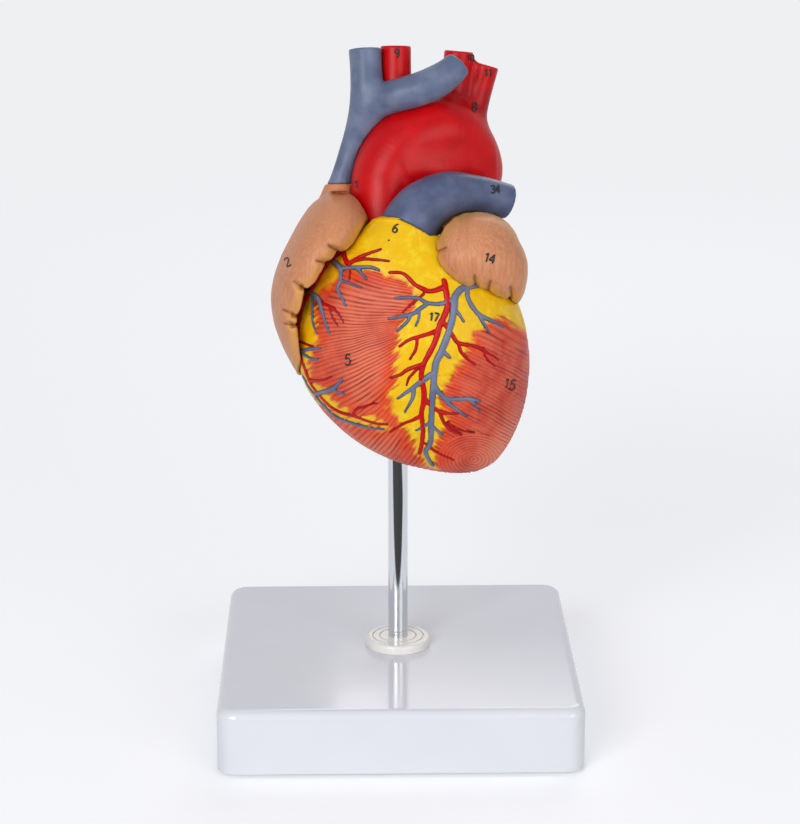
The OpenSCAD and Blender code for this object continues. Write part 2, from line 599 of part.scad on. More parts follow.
module magnet_seats() {
    seat_h = 2 * (magnet_t + magnet_fit) + parting_gap;
    spots(magnet_spots) cylinder(d = magnet_d + 2 * magnet_fit, h = seat_h, center = true);
}
module pin_holes(length, fit) {
    spots(pin_spots) cylinder(d = pin_d + 2 * fit, h = 2 * (length + fit), center = true);
}
module rear_ventricle_wall() {
    color(muscle_red) heart_place() difference() {
        intersection() {
            ventricles();
            rear_side();
        }
        difference() {
            union() {
                right_cavity();
                left_cavity();
            }
            in_stand_frame() socket_boss();
        }
        intersection() {
            septum_slab(seam);
            ventricles(-septum_inset);
        }
        aorta_outside(seam);
        valve_bores();
        in_stand_frame() socket_hole();
        magnet_seats();
        pin_holes(pin_len, pin_fit);
    }
}
module ventricular_septum() {
    color(muscle_red) heart_place() difference() {
        intersection() {
            septum_slab();
            ventricles(-septum_inset - seam);
            rear_side();
        }
        right_cavity(seam);
        left_cavity(seam);
        aorta_outside(seam);
        valve_bores();
        in_stand_frame() socket_boss();
        pin_holes(pin_len, pin_fit);
    }
}
module left_atrium() {
    color(flesh) heart_place() difference() {
        left_atrium_form();
        left_atrium_form(-atrium_wall);
        ventricles(seam);
        aorta_outside(seam);
        valve_bores();
        for (rows = pulmonary_vein_rows) vessel_form(rows, -vessel_wall, 1);
    }
}
module right_atrium() {
    color(flesh) heart_place() difference() {
        union() {
            intersection() {
                right_atrium_form();
                rear_side();
            }
            intersection() {
                vessel_form(neck_rows);
                rear_side();
            }
        }
        right_atrium_cavity();
        vessel_form(neck_lumen_rows);
        vessel_form(inferior_cava_rows, seam);
        ventricles(seam);
        left_atrium_form(seam);
        aorta_outside(seam);
        valve_bores();
    }
}
module aorta() {
    color(artery_red) heart_place() difference() {
        aorta_outside();
        aorta_form(-vessel_wall, 1);
    }
}
module superior_vena_cava() {
    color(vein_blue) heart_place() difference() {
        cava_form();
        cava_form(-vessel_wall, 1);
        aorta_outside(seam);
        // The vein ends where the atrium's neck begins
        translate([neck_rows[2][0], neck_end - far / 2, neck_rows[2][2]]) cube([20, far, far], center = true);
    }
}
module inferior_vena_cava() {
    color(vein_blue) heart_place() difference() {
        vessel_form(inferior_cava_rows);
        vessel_form(inferior_cava_rows, -vessel_wall, 1);
        right_atrium_cavity(seam);
        ventricles(seam);
        front_side();
    }
}
module right_pulmonary_artery() {
    color(vein_blue) heart_place() difference() {
        vessel_form(right_branch_rows, 0, 0, 4);
        vessel_form(right_branch_rows, -vessel_wall, 1, 4);
        aorta_outside(seam);
        left_atrium_form(seam);
        right_atrium_form(seam);
        vessel_form(neck_rows, seam);
    }
}
module pulmonary_veins() {
    color(artery_red) heart_place() difference() {
        for (rows = pulmonary_vein_rows) vessel_form(rows);
        for (rows = pulmonary_vein_rows) vessel_form(rows, -vessel_wall, 1);
        left_atrium_form(seam);
        right_atrium_form(seam);
        ventricles(seam);
        aorta_outside(seam);
    }
}

// A valve seen along its own axis: a ring with curved flaps that hang into the ventricle
module valve(radius, flaps, drop, opening) {
    strips = 4;
    slit = 0.04;
    difference() {
        cylinder(r = radius - seam, h = rim_h, center = true, $fn = 22);
        cylinder(r = radius - rim_w, h = rim_h + 2 * over, center = true, $fn = 22);
    }
    for (k = [0 : flaps - 1], j = [0 : strips - 1])
        between(
            flap_cut(radius, flaps, drop, opening, k, slit + (1 - 2 * slit) * j / strips),
            flap_cut(radius, flaps, drop, opening, k, slit + (1 - 2 * slit) * (j + 1) / strips)
        );
}
// Four corners of one cut through flap k, at the share t of its width: the root, then the free tip
function flap_cut(radius, flaps, drop, opening, k, t) =
    let (
        a = 360 * (k + t) / flaps,
        out = [cos(a), sin(a), 0],
        root = [0, 0, root_up - rim_h / 2],
        tip = [0, 0, -rim_h / 2 - drop * (1 - 0.5 * pow(2 * t - 1, 2))],
        inner = radius - rim_w
    )
    [
        out * (inner + root_out) + root,
        out * (inner - flap_t) + root - [0, 0, root_drop],
        out * (opening + flap_t / 2) + tip,
        out * (opening - flap_t / 2) + tip
    ];
aortic_valve_r = aorta_rows[2][3] - vessel_wall - valve_fit;
pulmonary_valve_r = trunk_rows[1][3] - vessel_wall - seam;
module tricuspid_valve() {
    color(valve_cream) heart_place() difference() {
        tricuspid_place() valve(tricuspid_r, 3, tricuspid_drop, tricuspid_opening);
        aorta_outside(seam);
        front_side();
    }
}
module mitral_valve() {
    color(valve_cream) heart_place() difference() {
        mitral_place() valve(mitral_r, 2, mitral_drop, mitral_opening);
        aorta_outside(seam);
        front_side();
    }
}
module aortic_valve() {
    color(valve_cream) heart_place()
        translate([-3, 12, -3]) rotate([-60, -24, 0]) rotate([0, 0, 90])
            valve(aortic_valve_r, 3, artery_valve_drop, aortic_opening);
}
module pulmonary_valve() {
    color(valve_cream) heart_place()
        translate([4.6, 19, 14]) rotate([-90, 25, 0]) rotate([0, 0, 180])
            valve(pulmonary_valve_r, 3, artery_valve_drop, pulmonary_opening);
}

// Papillary muscles stand on the chamber walls: [foot point, tip point, foot radius, tip radius]
papillary_list = [
    [[31, -44, -18], [25, -26, -12], 6, 3],
    [[19, -44, -19], [19.5, -27, -13], 5, 2.6],
    [[-10, -38, -17], [-15, -21, -10], 5, 2.6],
    [[-25, -33, -13], [-22, -18, -9], 4.4, 2.4]
];
cord_list = [
    [0, [25.5, -12, -13]], [0, [22, -11, -11.5]], [1, [18, -11.5, -12.5]], [1, [21, -11, -14]],
    [2, [-16.5, -9.5, -8]], [2, [-19.5, -9.5, -6]], [3, [-22, -8.6, -8]], [3, [-24.5, -7, -10]]
];
// Ball at the share t of a papillary muscle's length
module papillary_ball(m, t, grow = 0) {
    translate(m[0] + (m[1] - m[0]) * t) sphere(r = m[2] + (m[3] - m[2]) * t + grow, $fn = 10);
}
module papillary_muscle(m, grow = 0) {
    hull() {
        papillary_ball(m, 0, grow);
        papillary_ball(m, 1, grow);
    }
}
module papillary_muscles() {
    color(muscle_red) heart_place() intersection() {
        for (m = papillary_list) difference() {
            for (k = [0 : 2]) hull() {
                papillary_ball(m, k / 3);
                papillary_ball(m, (k + 1) / 3);
            }
            in_stand_frame() socket_boss();
        }
        union() {
            right_cavity(-seam);
            left_cavity(-seam);
        }
        rear_side();
    }
}
module chordae_tendineae() {
    cord_r = 0.5;
    color(valve_cream) heart_place() difference() {
        for (c = cord_list) hull() {
            translate(papillary_list[c[0]][1]) sphere(r = cord_r, $fn = 6);
            translate(c[1]) sphere(r = cord_r, $fn = 6);
        }
        for (m = papillary_list) papillary_muscle(m, seam);
    }
}

// Relief vessels: a flat network, pushed through the skin of the ventricles
module network(branches, grow = 0) {
    for (b = branches, i = [0 : len(b) - 2]) hull() {
        translate([b[i][0], b[i][1]]) circle(r = b[i][2] + grow, $fn = 8);
        translate([b[i + 1][0], b[i + 1][1]]) circle(r = b[i + 1][2] + grow, $fn = 8);
    }
}
module skin(relief) {
    difference() {
        ventricles(relief);
        ventricles(seam);
    }
}
module front_network(branches, grow = 0) {
    linear_extrude(far) network(branches, grow);
}
module rear_network(branches, grow = 0) {
    translate([0, 0, -far]) linear_extrude(far) network(branches, grow);
}
module right_auricle_column(grow = 0) {
    linear_extrude(far) offset(r = lobe_round, $fn = 12) offset(delta = grow - lobe_round)
        polygon(right_auricle_edge);
}
module rear_coronary_arteries() {
    color(artery_red) heart_place() difference() {
        intersection() {
            rear_network(rear_arteries);
            skin(artery_relief);
            rear_side();
        }
        rear_network(rear_veins, seam);
        left_atrium_form(seam);
        right_atrium_form(seam);
        vessel_form(inferior_cava_rows, seam);
    }
}
module rear_cardiac_veins() {
    color(vein_blue) heart_place() difference() {
        intersection() {
            rear_network(rear_veins);
            skin(vein_relief);
            rear_side();
        }
        left_atrium_form(seam);
        right_atrium_form(seam);
        vessel_form(inferior_cava_rows, seam);
    }
}
module rear_magnets() {
    color(chrome) heart_place() spots(magnet_spots)
        translate([0, 0, -parting_gap / 2 - magnet_t]) cylinder(d = magnet_d, h = magnet_t);
}

// ---- Front wall ----
module front_ventricle_wall() {
    color(muscle_red) heart_place() difference() {
        intersection() {
            ventricles();
            front_side();
        }
        right_cavity();
        left_cavity();
        aorta_outside(parting_gap);
        trunk_form(seam);
        magnet_seats();
        pin_holes(pin_root, seam);
    }
}
module pulmonary_trunk() {
    color(vein_blue) heart_place() difference() {
        trunk_form();
        trunk_form(-vessel_wall, 1);
        aorta_outside(parting_gap);
    }
}
module right_auricle() {
    color(flesh) heart_place() difference() {
        intersection() {
            right_atrium_form();
            right_auricle_column();
            front_side();
        }
        right_atrium_cavity();
        ventricles(seam);
        aorta_outside(parting_gap);
    }
}
module left_auricle() {
    color(flesh) heart_place() difference() {
        intersection() {
            left_auricle_form();
            front_side();
        }
        ventricles(seam);
        trunk_form(seam);
        aorta_outside(parting_gap);
    }
}
module front_coronary_arteries() {
    color(artery_red) heart_place() difference() {
        intersection() {
            front_network(front_arteries);
            skin(artery_relief);
            front_side();
        }
        front_network(front_veins, seam);
        right_auricle_column(seam);
        left_auricle_form(seam);
    }
}
module front_cardiac_veins() {
    color(vein_blue) heart_place() difference() {
        intersection() {
            front_network(front_veins);
            skin(vein_relief);
            front_side();
        }
        right_auricle_column(seam);
        left_auricle_form(seam);
    }
}
module front_magnets() {
    color(chrome) heart_place() spots(magnet_spots)
        translate([0, 0, parting_gap / 2]) cylinder(d = magnet_d, h = magnet_t);
}
module locating_pins() {
    color(chrome) heart_place() spots(pin_spots)
        translate([0, 0, -pin_len]) cylinder(d = pin_d, h = pin_len + pin_root);
}

base_shell();
rubber_feet();
pole_collar();
support_pole();
pole_washer();
pole_screw();
pole_socket();
rear_ventricle_wall();
ventricular_septum();
right_atrium();
left_atrium();
aorta();
superior_vena_cava();
inferior_vena_cava();
right_pulmonary_artery();
pulmonary_veins();
tricuspid_valve();
mitral_valve();
aortic_valve();
papillary_muscles();
chordae_tendineae();
rear_coronary_arteries();
rear_cardiac_veins();
rear_magnets();
front_ventricle_wall();
pulmonary_trunk();
pulmonary_valve();
right_auricle();
left_auricle();
front_coronary_arteries();
front_cardiac_veins();
front_magnets();
locating_pins();
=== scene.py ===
import math

import bpy
import numpy as np
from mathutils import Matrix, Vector


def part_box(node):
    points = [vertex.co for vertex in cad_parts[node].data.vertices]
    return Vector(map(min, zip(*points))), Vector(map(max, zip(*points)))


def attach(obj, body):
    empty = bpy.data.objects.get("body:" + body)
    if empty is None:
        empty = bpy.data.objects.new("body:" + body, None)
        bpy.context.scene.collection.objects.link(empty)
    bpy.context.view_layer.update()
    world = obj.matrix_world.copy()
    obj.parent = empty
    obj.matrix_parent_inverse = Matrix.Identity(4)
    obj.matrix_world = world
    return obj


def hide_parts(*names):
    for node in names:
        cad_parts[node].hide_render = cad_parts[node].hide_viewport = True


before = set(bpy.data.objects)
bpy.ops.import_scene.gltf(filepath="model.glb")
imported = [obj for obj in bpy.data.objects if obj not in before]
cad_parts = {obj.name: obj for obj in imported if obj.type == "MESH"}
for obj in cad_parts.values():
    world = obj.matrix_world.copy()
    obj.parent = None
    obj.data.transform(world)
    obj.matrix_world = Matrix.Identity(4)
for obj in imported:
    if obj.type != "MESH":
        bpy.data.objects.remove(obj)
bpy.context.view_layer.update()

random = np.random.default_rng(11)

# ---- The heart's own frame: x right, y up along the heart, z towards the viewer, in mm ----
TILT = math.radians(13)
FOOT_REACH = 62.5
HEART_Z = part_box("pole_socket")[0].z * 1000 + FOOT_REACH / math.cos(TILT)
PARTING_GAP = 0.3
SEAM = 0.1
VESSEL_WALL = 2
VOXEL = 0.5
FINE_VOXEL = 0.32
FAR_OFF = 20.0
# Rounding of cut edges and of the auricles' rims
CUT_EDGE = 0.8
RIM_EDGE = 4.5

# ---- Forms. A body's row is [height, left, right, back, front]; a vessel's is [x, y, z, radius] ----
VENTRICLES = [
    [-70.8, 20.3, 22.7, -3, -2], [-70.2, 14.6, 27.4, -7.6, 2.2], [-68.6, 6.6, 31.6, -13.2, 7],
    [-66.5, -1, 35, -17.5, 11], [-62, -10.6, 38.7, -22, 15.5], [-56, -19.2, 42, -26, 20],
    [-48, -27.2, 45, -29.5, 25], [-39, -33.1, 46.7, -31.5, 28.5], [-29, -36.2, 47.2, -32.5, 31],
    [-19, -37, 45.9, -33, 32.5], [-9, -36, 42.8, -32.5, 32.5], [0, -32, 38.5, -30.5, 30.5],
    [8, -26, 33, -27, 27.5], [14, -18.5, 25.5, -22, 23.5], [18, -10, 17, -16, 19], [20, -4, 10, -10, 14],
    [20.7, 0.5, 5.5, -4, 8],
]
CONUS = [[-7, -8, 10, 18], [-4, 2, 12, 16], [-0.5, 10, 13.5, 13], [3.3, 16.5, 14, 10.9], [6, 21.5, 13, 10.6]]
# Where the outflow cone ends and the pulmonary trunk begins: a point and the way out of the cone
LIP = ((3.1, 15.4, 14), (0.45, 0.84, -0.303))
CONUS_LUMEN = [[-9, -10, 8, 13], [-6, 0, 11, 11], [-1.5, 9, 14, 9.4], [3.3, 16.5, 14, 8.6]]
RIGHT_CAVITY = [
    [-50, -14, -6, -4, 8], [-47, -20, -2, -10, 15], [-40, -26.5, 3, -17, 21], [-30, -29.5, 5, -21, 25],
    [-19, -31, 5, -22.5, 26.5], [-9, -30, 3, -22, 26], [0, -26, 2, -19, 23], [6, -20, 2, -13, 18],
    [8, -16, 0, -8, 12],
]
LEFT_CAVITY = [
    [-61, 22, 31, -6, 4], [-58, 19, 35, -11, 9], [-50, 15.5, 38, -17, 16], [-39, 14, 39.2, -20.5, 20.5],
    [-27, 13.5, 38.8, -22, 22], [-15, 13, 36, -22, 20], [-5, 12.5, 32, -20, 15], [1, 13, 28, -16, 9],
    [3, 16, 25, -12, 4],
]
RIGHT_ATRIUM = [
    [-34.4, -36.5, -32, -12, 2], [-30, -38.4, -29, -20, 12], [-24, -41.3, -26, -26, 19],
    [-16, -44, -24, -30, 24.5], [-8, -45, -20, -32, 28], [0, -43.9, -16, -33, 30], [8, -41, -13, -32, 31],
    [14, -38, -10.5, -30, 30], [20, -34.6, -9.5, -27, 26.5], [25, -31, -12, -22, 21],
    [28.4, -27, -15, -17, 14], [29.8, -24.4, -18, -12, 8],
]
RIGHT_ATRIUM_CAVITY = [
    [-20, -38.5, -35, -18, 4], [-14, -40.4, -32, -25, 14], [-6, -41.4, -29, -28, 19], [2, -40.2, -26, -29, 22],
    [10, -37, -21, -28, 22], [17, -33.4, -18, -24, 19], [22, -29.6, -19, -19, 13], [25, -27, -21, -14, 6],
]
LEFT_ATRIUM = [
    [-6, 4, 24, -35, -24], [-3, -3, 30, -39, -18], [2, -9, 35, -41.5, -14], [9, -12, 37, -42.5, -12],
    [16, -12, 37, -41.5, -10.5], [22, -9, 33.5, -37, -11], [26, -3, 27, -31, -14], [27.6, 4, 20, -26, -18],
]
LEFT_AURICLE = [
    [-10.4, 39.5, 42.2, 3, 10], [-8, 31, 44.4, 0, 19], [-4, 13, 45.8, -4, 28], [1, 9, 46.2, -6, 32],
    [6, 7.8, 45.8, -7, 34], [12, 8.4, 43.6, -7, 33], [17, 10, 41.4, -6, 30], [20.6, 14, 37.8, -4, 25.5],
    [22.8, 19.5, 33, -1, 18.5],
]
AORTA = [
    [10, -4, -4, 8.5], [3, 4, -3.5, 10.2], [-3, 12, -3, 11.3], [-5, 20, -3, 11.6], [-4.9, 28, -3, 11.7],
    [-4.2, 36.5, -4, 11.9], [0.7, 45.3, -5.5, 12.6], [8.7, 51, -7.5, 13.2], [17.5, 52.2, -10.5, 12.9],
    [24.8, 47, -14.5, 11], [28.2, 39.5, -17, 10.4], [27.8, 33, -18, 9.6],
]
BRACHIOCEPHALIC = [[1, 54, -9, 7], [-0.2, 64, -8, 5.8], [-0.3, 82.8, -7, 5.5]]
CAROTID = [[15.5, 56, -11.5, 8.2], [20.9, 67, -12, 5.5], [22.6, 81.2, -11, 5.3]]
SUBCLAVIAN = [[24.5, 51, -14, 7], [28.6, 63.5, -14, 5.1], [32.4, 76.4, -13, 4.8]]
CAVA = [
    [-21, 31.4, -8, 4.8], [-20.3, 33.6, -8, 4.4], [-18.7, 39, -8, 4], [-16.8, 44.5, -8, 4.2],
    [-13.7, 51.5, -6.5, 5.2], [-11.3, 59, -4, 6], [-10.7, 66, -3, 6], [-11, 74, -3, 5.7],
    [-11.4, 81.6, -3, 5.8],
]
LEFT_VEIN = [
    [-9.5, 60, -3, 5.2], [-4, 63.4, 0, 5.8], [2, 65, 2.5, 5.9], [8, 66.7, 3.5, 6], [14, 69.3, 3.5, 5.9],
    [18.5, 72.3, 3, 5.4], [22, 75.8, 2, 4.8],
]
NECK = [[-23.4, 20, -8, 7], [-22, 27, -8, 6.2], [-20.4, 33.4, -8, 4.9], [-19.6, 36, -8, 4.6]]
INFERIOR_CAVA = [[-30, -8, -20, 7.5], [-28.5, -20, -27, 7.6], [-27, -34, -31, 7.4]]
TRUNK = [
    [1.2, 12.6, 13.6, 10.2], [3.4, 16.7, 14, 10.5], [5.6, 20.8, 14, 10], [9.3, 25, 13, 9.3],
    [17.4, 29.2, 10, 8.1], [27, 29.4, 5.5, 6.8], [34, 28.2, 2.5, 6.4], [39.6, 26.6, 0.3, 6.3],
]
RIGHT_BRANCH = [[9, 32.4, -19.5, 6.4], [-3, 32, -22.5, 6.6], [-16, 31, -23, 6.2]]
PULMONARY_VEINS = [
    [[28, 12, -27, 5.4], [35, 14.4, -27, 5], [40.4, 15.6, -27, 4.8]], [[28, 4, -31, 5.2], [35, 2, -33, 5],
    [40, 0.6, -34, 4.7]], [[-4, 15, -34, 5.2], [-12, 17, -36, 5], [-19, 18.6, -37, 4.8]], [[-4, 5, -36, 5.2],
    [-12, 4.4, -39, 4.9], [-19, 3.6, -40, 4.7]],
]
ARCH_WEB = [[3, 37, -3.5, 8.5], [13, 38.5, -6, 9], [22, 40.5, -11, 8.5], [28, 41, -15.5, 7.5]]
NECK_LUMEN = [[-23.4, 18, -8, 4], [-22, 27, -8, 3.6], [-20.3, 34.6, -8, 2.6]]
NECK_END = 33.5
ATRIUM_WALL = 3
# How far past its end rows the ventricles' body closes; the septum's inset needs a deeper field
VENTRICLE_CLOSE = 0.25
SEPTUM_CLOSE = 12
SEPTUM_INSET = 9.1
SOCKET_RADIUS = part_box("pole_socket")[1].x * 1000
SOCKET_BOSS = 3
SEPTUM = [
    [2.5, -4], [13.5, -4], [13.6, -28], [14.8, -44], [17, -53], [21, -62], [4, -62], [-4, -50], [1, -43],
    [4.6, -34], [5.4, -20],
]
# Bores of the valves between the chambers: middle, axis, radius, length
VALVE_BORES = [
    ((-21, 3, -11.5), (-0.0976, 0.978, 0.1836), 8.5, 23), ((21.5, 0.5, -17), (0, 0.6428, -0.766), 8, 22),
]
# Middles of the magnets and the locating pins on the parting face, with their seats' radius and depth
MAGNETS = [(43.1, -28), (-33.4, -28), (25.5, -65.2)]
PINS = [(9.4, -18), (9.4, -36)]
MAGNET_SEAT = (2.7, 2.4)
PIN_SEAT = (2.05, 5.3)
# Papillary muscles: foot, tip, radius of the foot, radius of the tip
PAPILLARY = [
    [[31, -44, -18], [25, -26, -12], 6, 3], [[19, -44, -19], [19.5, -27, -13], 5, 2.6], [[-10, -38, -17],
    [-15, -21, -10], 5, 2.6], [[-25, -33, -13], [-22, -18, -9], 4.4, 2.4],
]

# ---- Drawn on the front as the camera sees it, on the plane DRAWN_AT in front of the parting face ----
EYE = np.array([-17.2, 6.3, 922.8])
DRAWN_AT = 25.0
# Edges of the auricles, with a notch between each pair of lobes
RIGHT_AURICLE_EDGE = [
    [-60, -42], [-60, 45], [-18, 45], [-10.2, 25], [-10, 21], [-12.4, 16.8], [-16, 12.4], [-18.6, 10],
    [-20.6, 9.4], [-22, 10], [-22.2, 8.8], [-23.4, 7], [-25, 6], [-26, 6.3], [-26.2, 4.8], [-27.7, 2],
    [-29.7, -1.2], [-32, -3.2], [-33.9, -3.1], [-33.6, -4.6], [-34.2, -8], [-35, -11], [-36, -12.6],
    [-37, -12.6], [-36.2, -14.2], [-36.2, -15.4], [-37, -16], [-36, -18], [-35.6, -24], [-35, -30], [-33, -42],
]
LEFT_AURICLE_EDGE = [
    [19.4, 20.6], [16.4, 18], [13.2, 12.6], [11.8, 8.1], [12.6, 3.9], [15.9, 0.3], [19.6, -2.5], [23.4, -3.5],
    [25.6, -3.2], [26.6, -2.2], [27.6, -3.5], [30.2, -4.6], [31, -4.1], [31.9, -4.9], [34.2, -6.9], [37.8, -8],
    [39.2, -6.6], [40, -8.4], [42.6, -10.8], [45, -6], [46.6, 1], [46.4, 5.5], [45, 10], [42, 15.6],
    [38.4, 19.8], [34.2, 22.4], [29.2, 23.4], [23.9, 23],
]
# Creases that run into the auricles from their notches: at the edge, then the inner end
RIGHT_CREASES = [
    [(-20.8, 9), (-24.6, 11.4)], [(-25.4, 5.2), (-28.8, 6)], [(-33.2, -3.6), (-36.6, -1.2)], [(-36, -13.2),
    (-40.4, -11)], [(-36.4, -16.4), (-39.8, -15.8)],
]
LEFT_CREASES = [
    [(26.6, -2.6), (26.2, 0.4)], [(31, -4.4), (31.8, -1.4)], [(39.2, -7), (38.8, -3.4)], [(12.4, 8.6),
    (16.4, 10.4)],
]
# Branches of the coronary arteries and cardiac veins: [x, y, radius], trunk first
FRONT_ARTERIES = [
    [[15.6, -1.2, 1], [16.4, -5, 1], [16.7, -10.4, 1], [13.9, -17.2, 0.95], [12, -23.4, 0.95], [8.4, -30, 0.9],
    [7.6, -34, 0.9], [8.5, -41, 0.85], [7.6, -47.8, 0.8], [8.1, -54.4, 0.8], [6.8, -61.4, 0.7]],
    [[15.4, -3.4, 0.9], [12.6, -4.5, 0.85], [9.6, -4.5, 0.8], [5.6, -2.4, 0.7], [1.4, 1.4, 0.6],
    [-3.4, 1.8, 0.5]], [[13.6, -18.4, 0.8], [7, -20.6, 0.7], [3.4, -21.6, 0.6], [0, -24, 0.5]],
    [[6.2, -20.9, 0.6], [5.6, -25, 0.55], [3.6, -28.4, 0.45]], [[8.2, -30.2, 0.8], [3, -32, 0.7],
    [0, -34, 0.55], [-3.2, -35, 0.45]], [[7.4, -48.4, 0.8], [4.4, -49.6, 0.7], [0.6, -51.4, 0.6],
    [-3.6, -54, 0.45]], [[15, -14.8, 0.8], [18.6, -20.4, 0.75], [20.8, -23, 0.7], [27.8, -24.6, 0.6],
    [34.4, -29, 0.45]], [[20.6, -22.8, 0.65], [21.8, -26.6, 0.6], [26.4, -30.6, 0.45]], [[8.8, -42.6, 0.75],
    [13.6, -46.8, 0.7], [20.2, -47.6, 0.5]], [[13.8, -46.9, 0.65], [16.4, -52, 0.6], [21.4, -55, 0.45]],
    [[9, -58, 0.6], [13, -61.2, 0.6], [18.6, -63.8, 0.45]], [[-19.3, 9.6, 1], [-23.4, 6.6, 1], [-26.4, 2.2, 1],
    [-30.2, -3.8, 1], [-33.2, -9, 0.95], [-34.8, -15, 0.9], [-35.2, -21, 0.85], [-33.8, -29, 0.85],
    [-31.2, -36, 0.8], [-27.2, -41.8, 0.75], [-22.6, -46, 0.75], [-15.6, -48.4, 0.7], [-8, -50.8, 0.6],
    [-4.4, -51.2, 0.45]], [[-19.6, 9.4, 1], [-18, 5.2, 0.9], [-13.6, 7.4, 0.7], [-6.4, 9.9, 0.5]],
    [[-17.4, 5.2, 0.6], [-12.4, 6.5, 0.6], [-3.6, 5.8, 0.45]], [[-31, -35.8, 0.7], [-26.4, -35.5, 0.6],
    [-23.9, -34.6, 0.45]], [[-16.8, -48, 0.6], [-14.2, -45.4, 0.55], [-8, -43.6, 0.45]], [[-17.4, 4.4, 0.6],
    [-17.1, 2, 0.5], [-17.4, -1, 0.4]], [[8.6, -5.6, 0.5], [3.9, -9.5, 0.5], [1.2, -12.1, 0.4]],
    [[-28, -8.4, 0.55], [-22.7, -10.8, 0.55], [-19.4, -15.4, 0.4]], [[-24.4, -10, 0.5], [-23.4, -13.4, 0.5],
    [-21.4, -16.7, 0.4]], [[-34.6, -22.2, 0.5], [-30, -24, 0.4]], [[7, -30.8, 0.5], [3.4, -35, 0.5],
    [2.4, -37.6, 0.4]], [[29.2, -24.7, 0.5], [30.4, -28.4, 0.5], [33.2, -31.1, 0.4]], [[16.8, -50.4, 0.55],
    [19.9, -53, 0.5], [25.9, -54.2, 0.4]],
]
FRONT_VEINS = [
    [[26.6, -2.6, 1.2], [22.2, -3.8, 1.2], [19.6, -6.6, 1.25], [18.9, -12, 1.25], [17.4, -18, 1.2],
    [14.7, -25.6, 1.15], [12.6, -30, 1.1], [11.8, -38, 1.05], [11.1, -47, 1], [10.7, -57.4, 0.9],
    [9, -61, 0.85], [11.4, -65.7, 0.7]], [[23.6, -4, 0.9], [24.2, -8, 0.9], [27.5, -12.9, 0.85],
    [32, -15.2, 0.7], [36.4, -17.5, 0.5]], [[27.4, -12.8, 0.7], [29.4, -16.4, 0.6], [31.4, -19.3, 0.45]],
    [[19.4, -11, 0.7], [22.4, -15.3, 0.5]], [[14.8, -25.2, 0.8], [17.5, -27.9, 0.55]], [[19, -7.6, 0.8],
    [15, -9, 0.75], [10, -8.9, 0.7], [6, -7, 0.65], [-1.4, -7.1, 0.5]], [[10, -9, 0.75], [6.8, -11.2, 0.75],
    [3.6, -13, 0.7], [-3.6, -14.3, 0.5]], [[3.8, -13, 0.7], [2.4, -15.8, 0.6], [-0.8, -18.6, 0.45]],
    [[6.9, -11.2, 0.6], [6.6, -14.4, 0.5], [5.7, -16.8, 0.45]], [[11.6, -33.6, 0.95], [7, -36.8, 0.9],
    [3, -39.6, 0.75], [-0.8, -42.2, 0.5]], [[4.8, -38.6, 0.7], [4.4, -42, 0.65], [1.8, -47, 0.45]],
    [[12, -37.6, 0.9], [13.8, -40.2, 0.85], [17, -42.3, 0.8], [24, -42.5, 0.7], [28, -43.3, 0.5]],
    [[14.6, -41, 0.7], [18, -44.8, 0.65], [23.6, -48.6, 0.45]], [[24.4, -42.6, 0.6], [28, -46.6, 0.45]],
    [[10.8, -50.6, 0.7], [5.7, -53.3, 0.5]], [[10.9, -51.6, 0.7], [15, -55, 0.5]], [[-22.8, 5.6, 0.9],
    [-20.4, 3, 0.9], [-20.4, -1, 0.8], [-21.4, -4, 0.7], [-18.6, -9.6, 0.5]], [[-20.4, 3.1, 0.75],
    [-15, 3.6, 0.7], [-10, 3.6, 0.6], [-7, 2.6, 0.45]], [[-15, 3.4, 0.65], [-11.4, -0.4, 0.5]],
    [[-20.3, -1, 0.65], [-13.2, -3.4, 0.45]], [[-32.2, -3.8, 0.8], [-28.4, -7.2, 0.85], [-27.2, -11, 0.8],
    [-24.4, -19.3, 0.5]], [[-30.2, -5.8, 0.6], [-30.3, -15, 0.55], [-28.6, -19.3, 0.45]], [[-35.4, -25.6, 0.7],
    [-31, -24.7, 0.65], [-27.5, -24.6, 0.5]], [[-33.6, -26.4, 0.7], [-31, -28, 0.65], [-28.4, -28.2, 0.5]],
    [[-29.6, -40.4, 0.8], [-23.8, -38.9, 0.8], [-20, -35.2, 0.55]], [[-24, -39, 0.7], [-19.3, -40.4, 0.5]],
    [[-33.6, -34.4, 0.7], [-28.6, -42, 0.75], [-22.6, -48.2, 0.8], [-14.4, -51.4, 0.7], [-5.8, -52.9, 0.5]],
]
REAR_ARTERIES = [
    [[-30, -12, 1.1], [-20, -7.5, 1.1], [-8, -6.5, 1.05], [-2, -9, 1], [1, -20, 0.95], [6, -34, 0.85],
    [12, -48, 0.75], [18, -58, 0.6]], [[4, -28, 0.7], [-6, -36, 0.6], [-12, -44, 0.45]], [[34, -10, 1],
    [28, -7.5, 1], [20, -9.6, 0.9], [24, -22, 0.75], [30, -36, 0.6]], [[9, -41, 0.6], [18, -44, 0.5],
    [24, -50, 0.45]],
]
REAR_VEINS = [
    [[37, -13, 1.1], [28, -11, 1.3], [16, -10.4, 1.6], [4, -11, 1.9], [-10, -10.6, 1.9], [-18, -12.4, 1.5]],
    [[5.4, -12, 1.2], [6.6, -24, 1.05], [11, -38, 0.9], [16, -52, 0.7]], [[8, -29, 0.7], [16, -36, 0.6],
    [20, -46, 0.45]], [[-14, -12, 0.9], [-18, -24, 0.8], [-16, -38, 0.6]], [[17, -11, 0.9], [15.6, -22, 0.7],
    [18, -30, 0.5]],
]
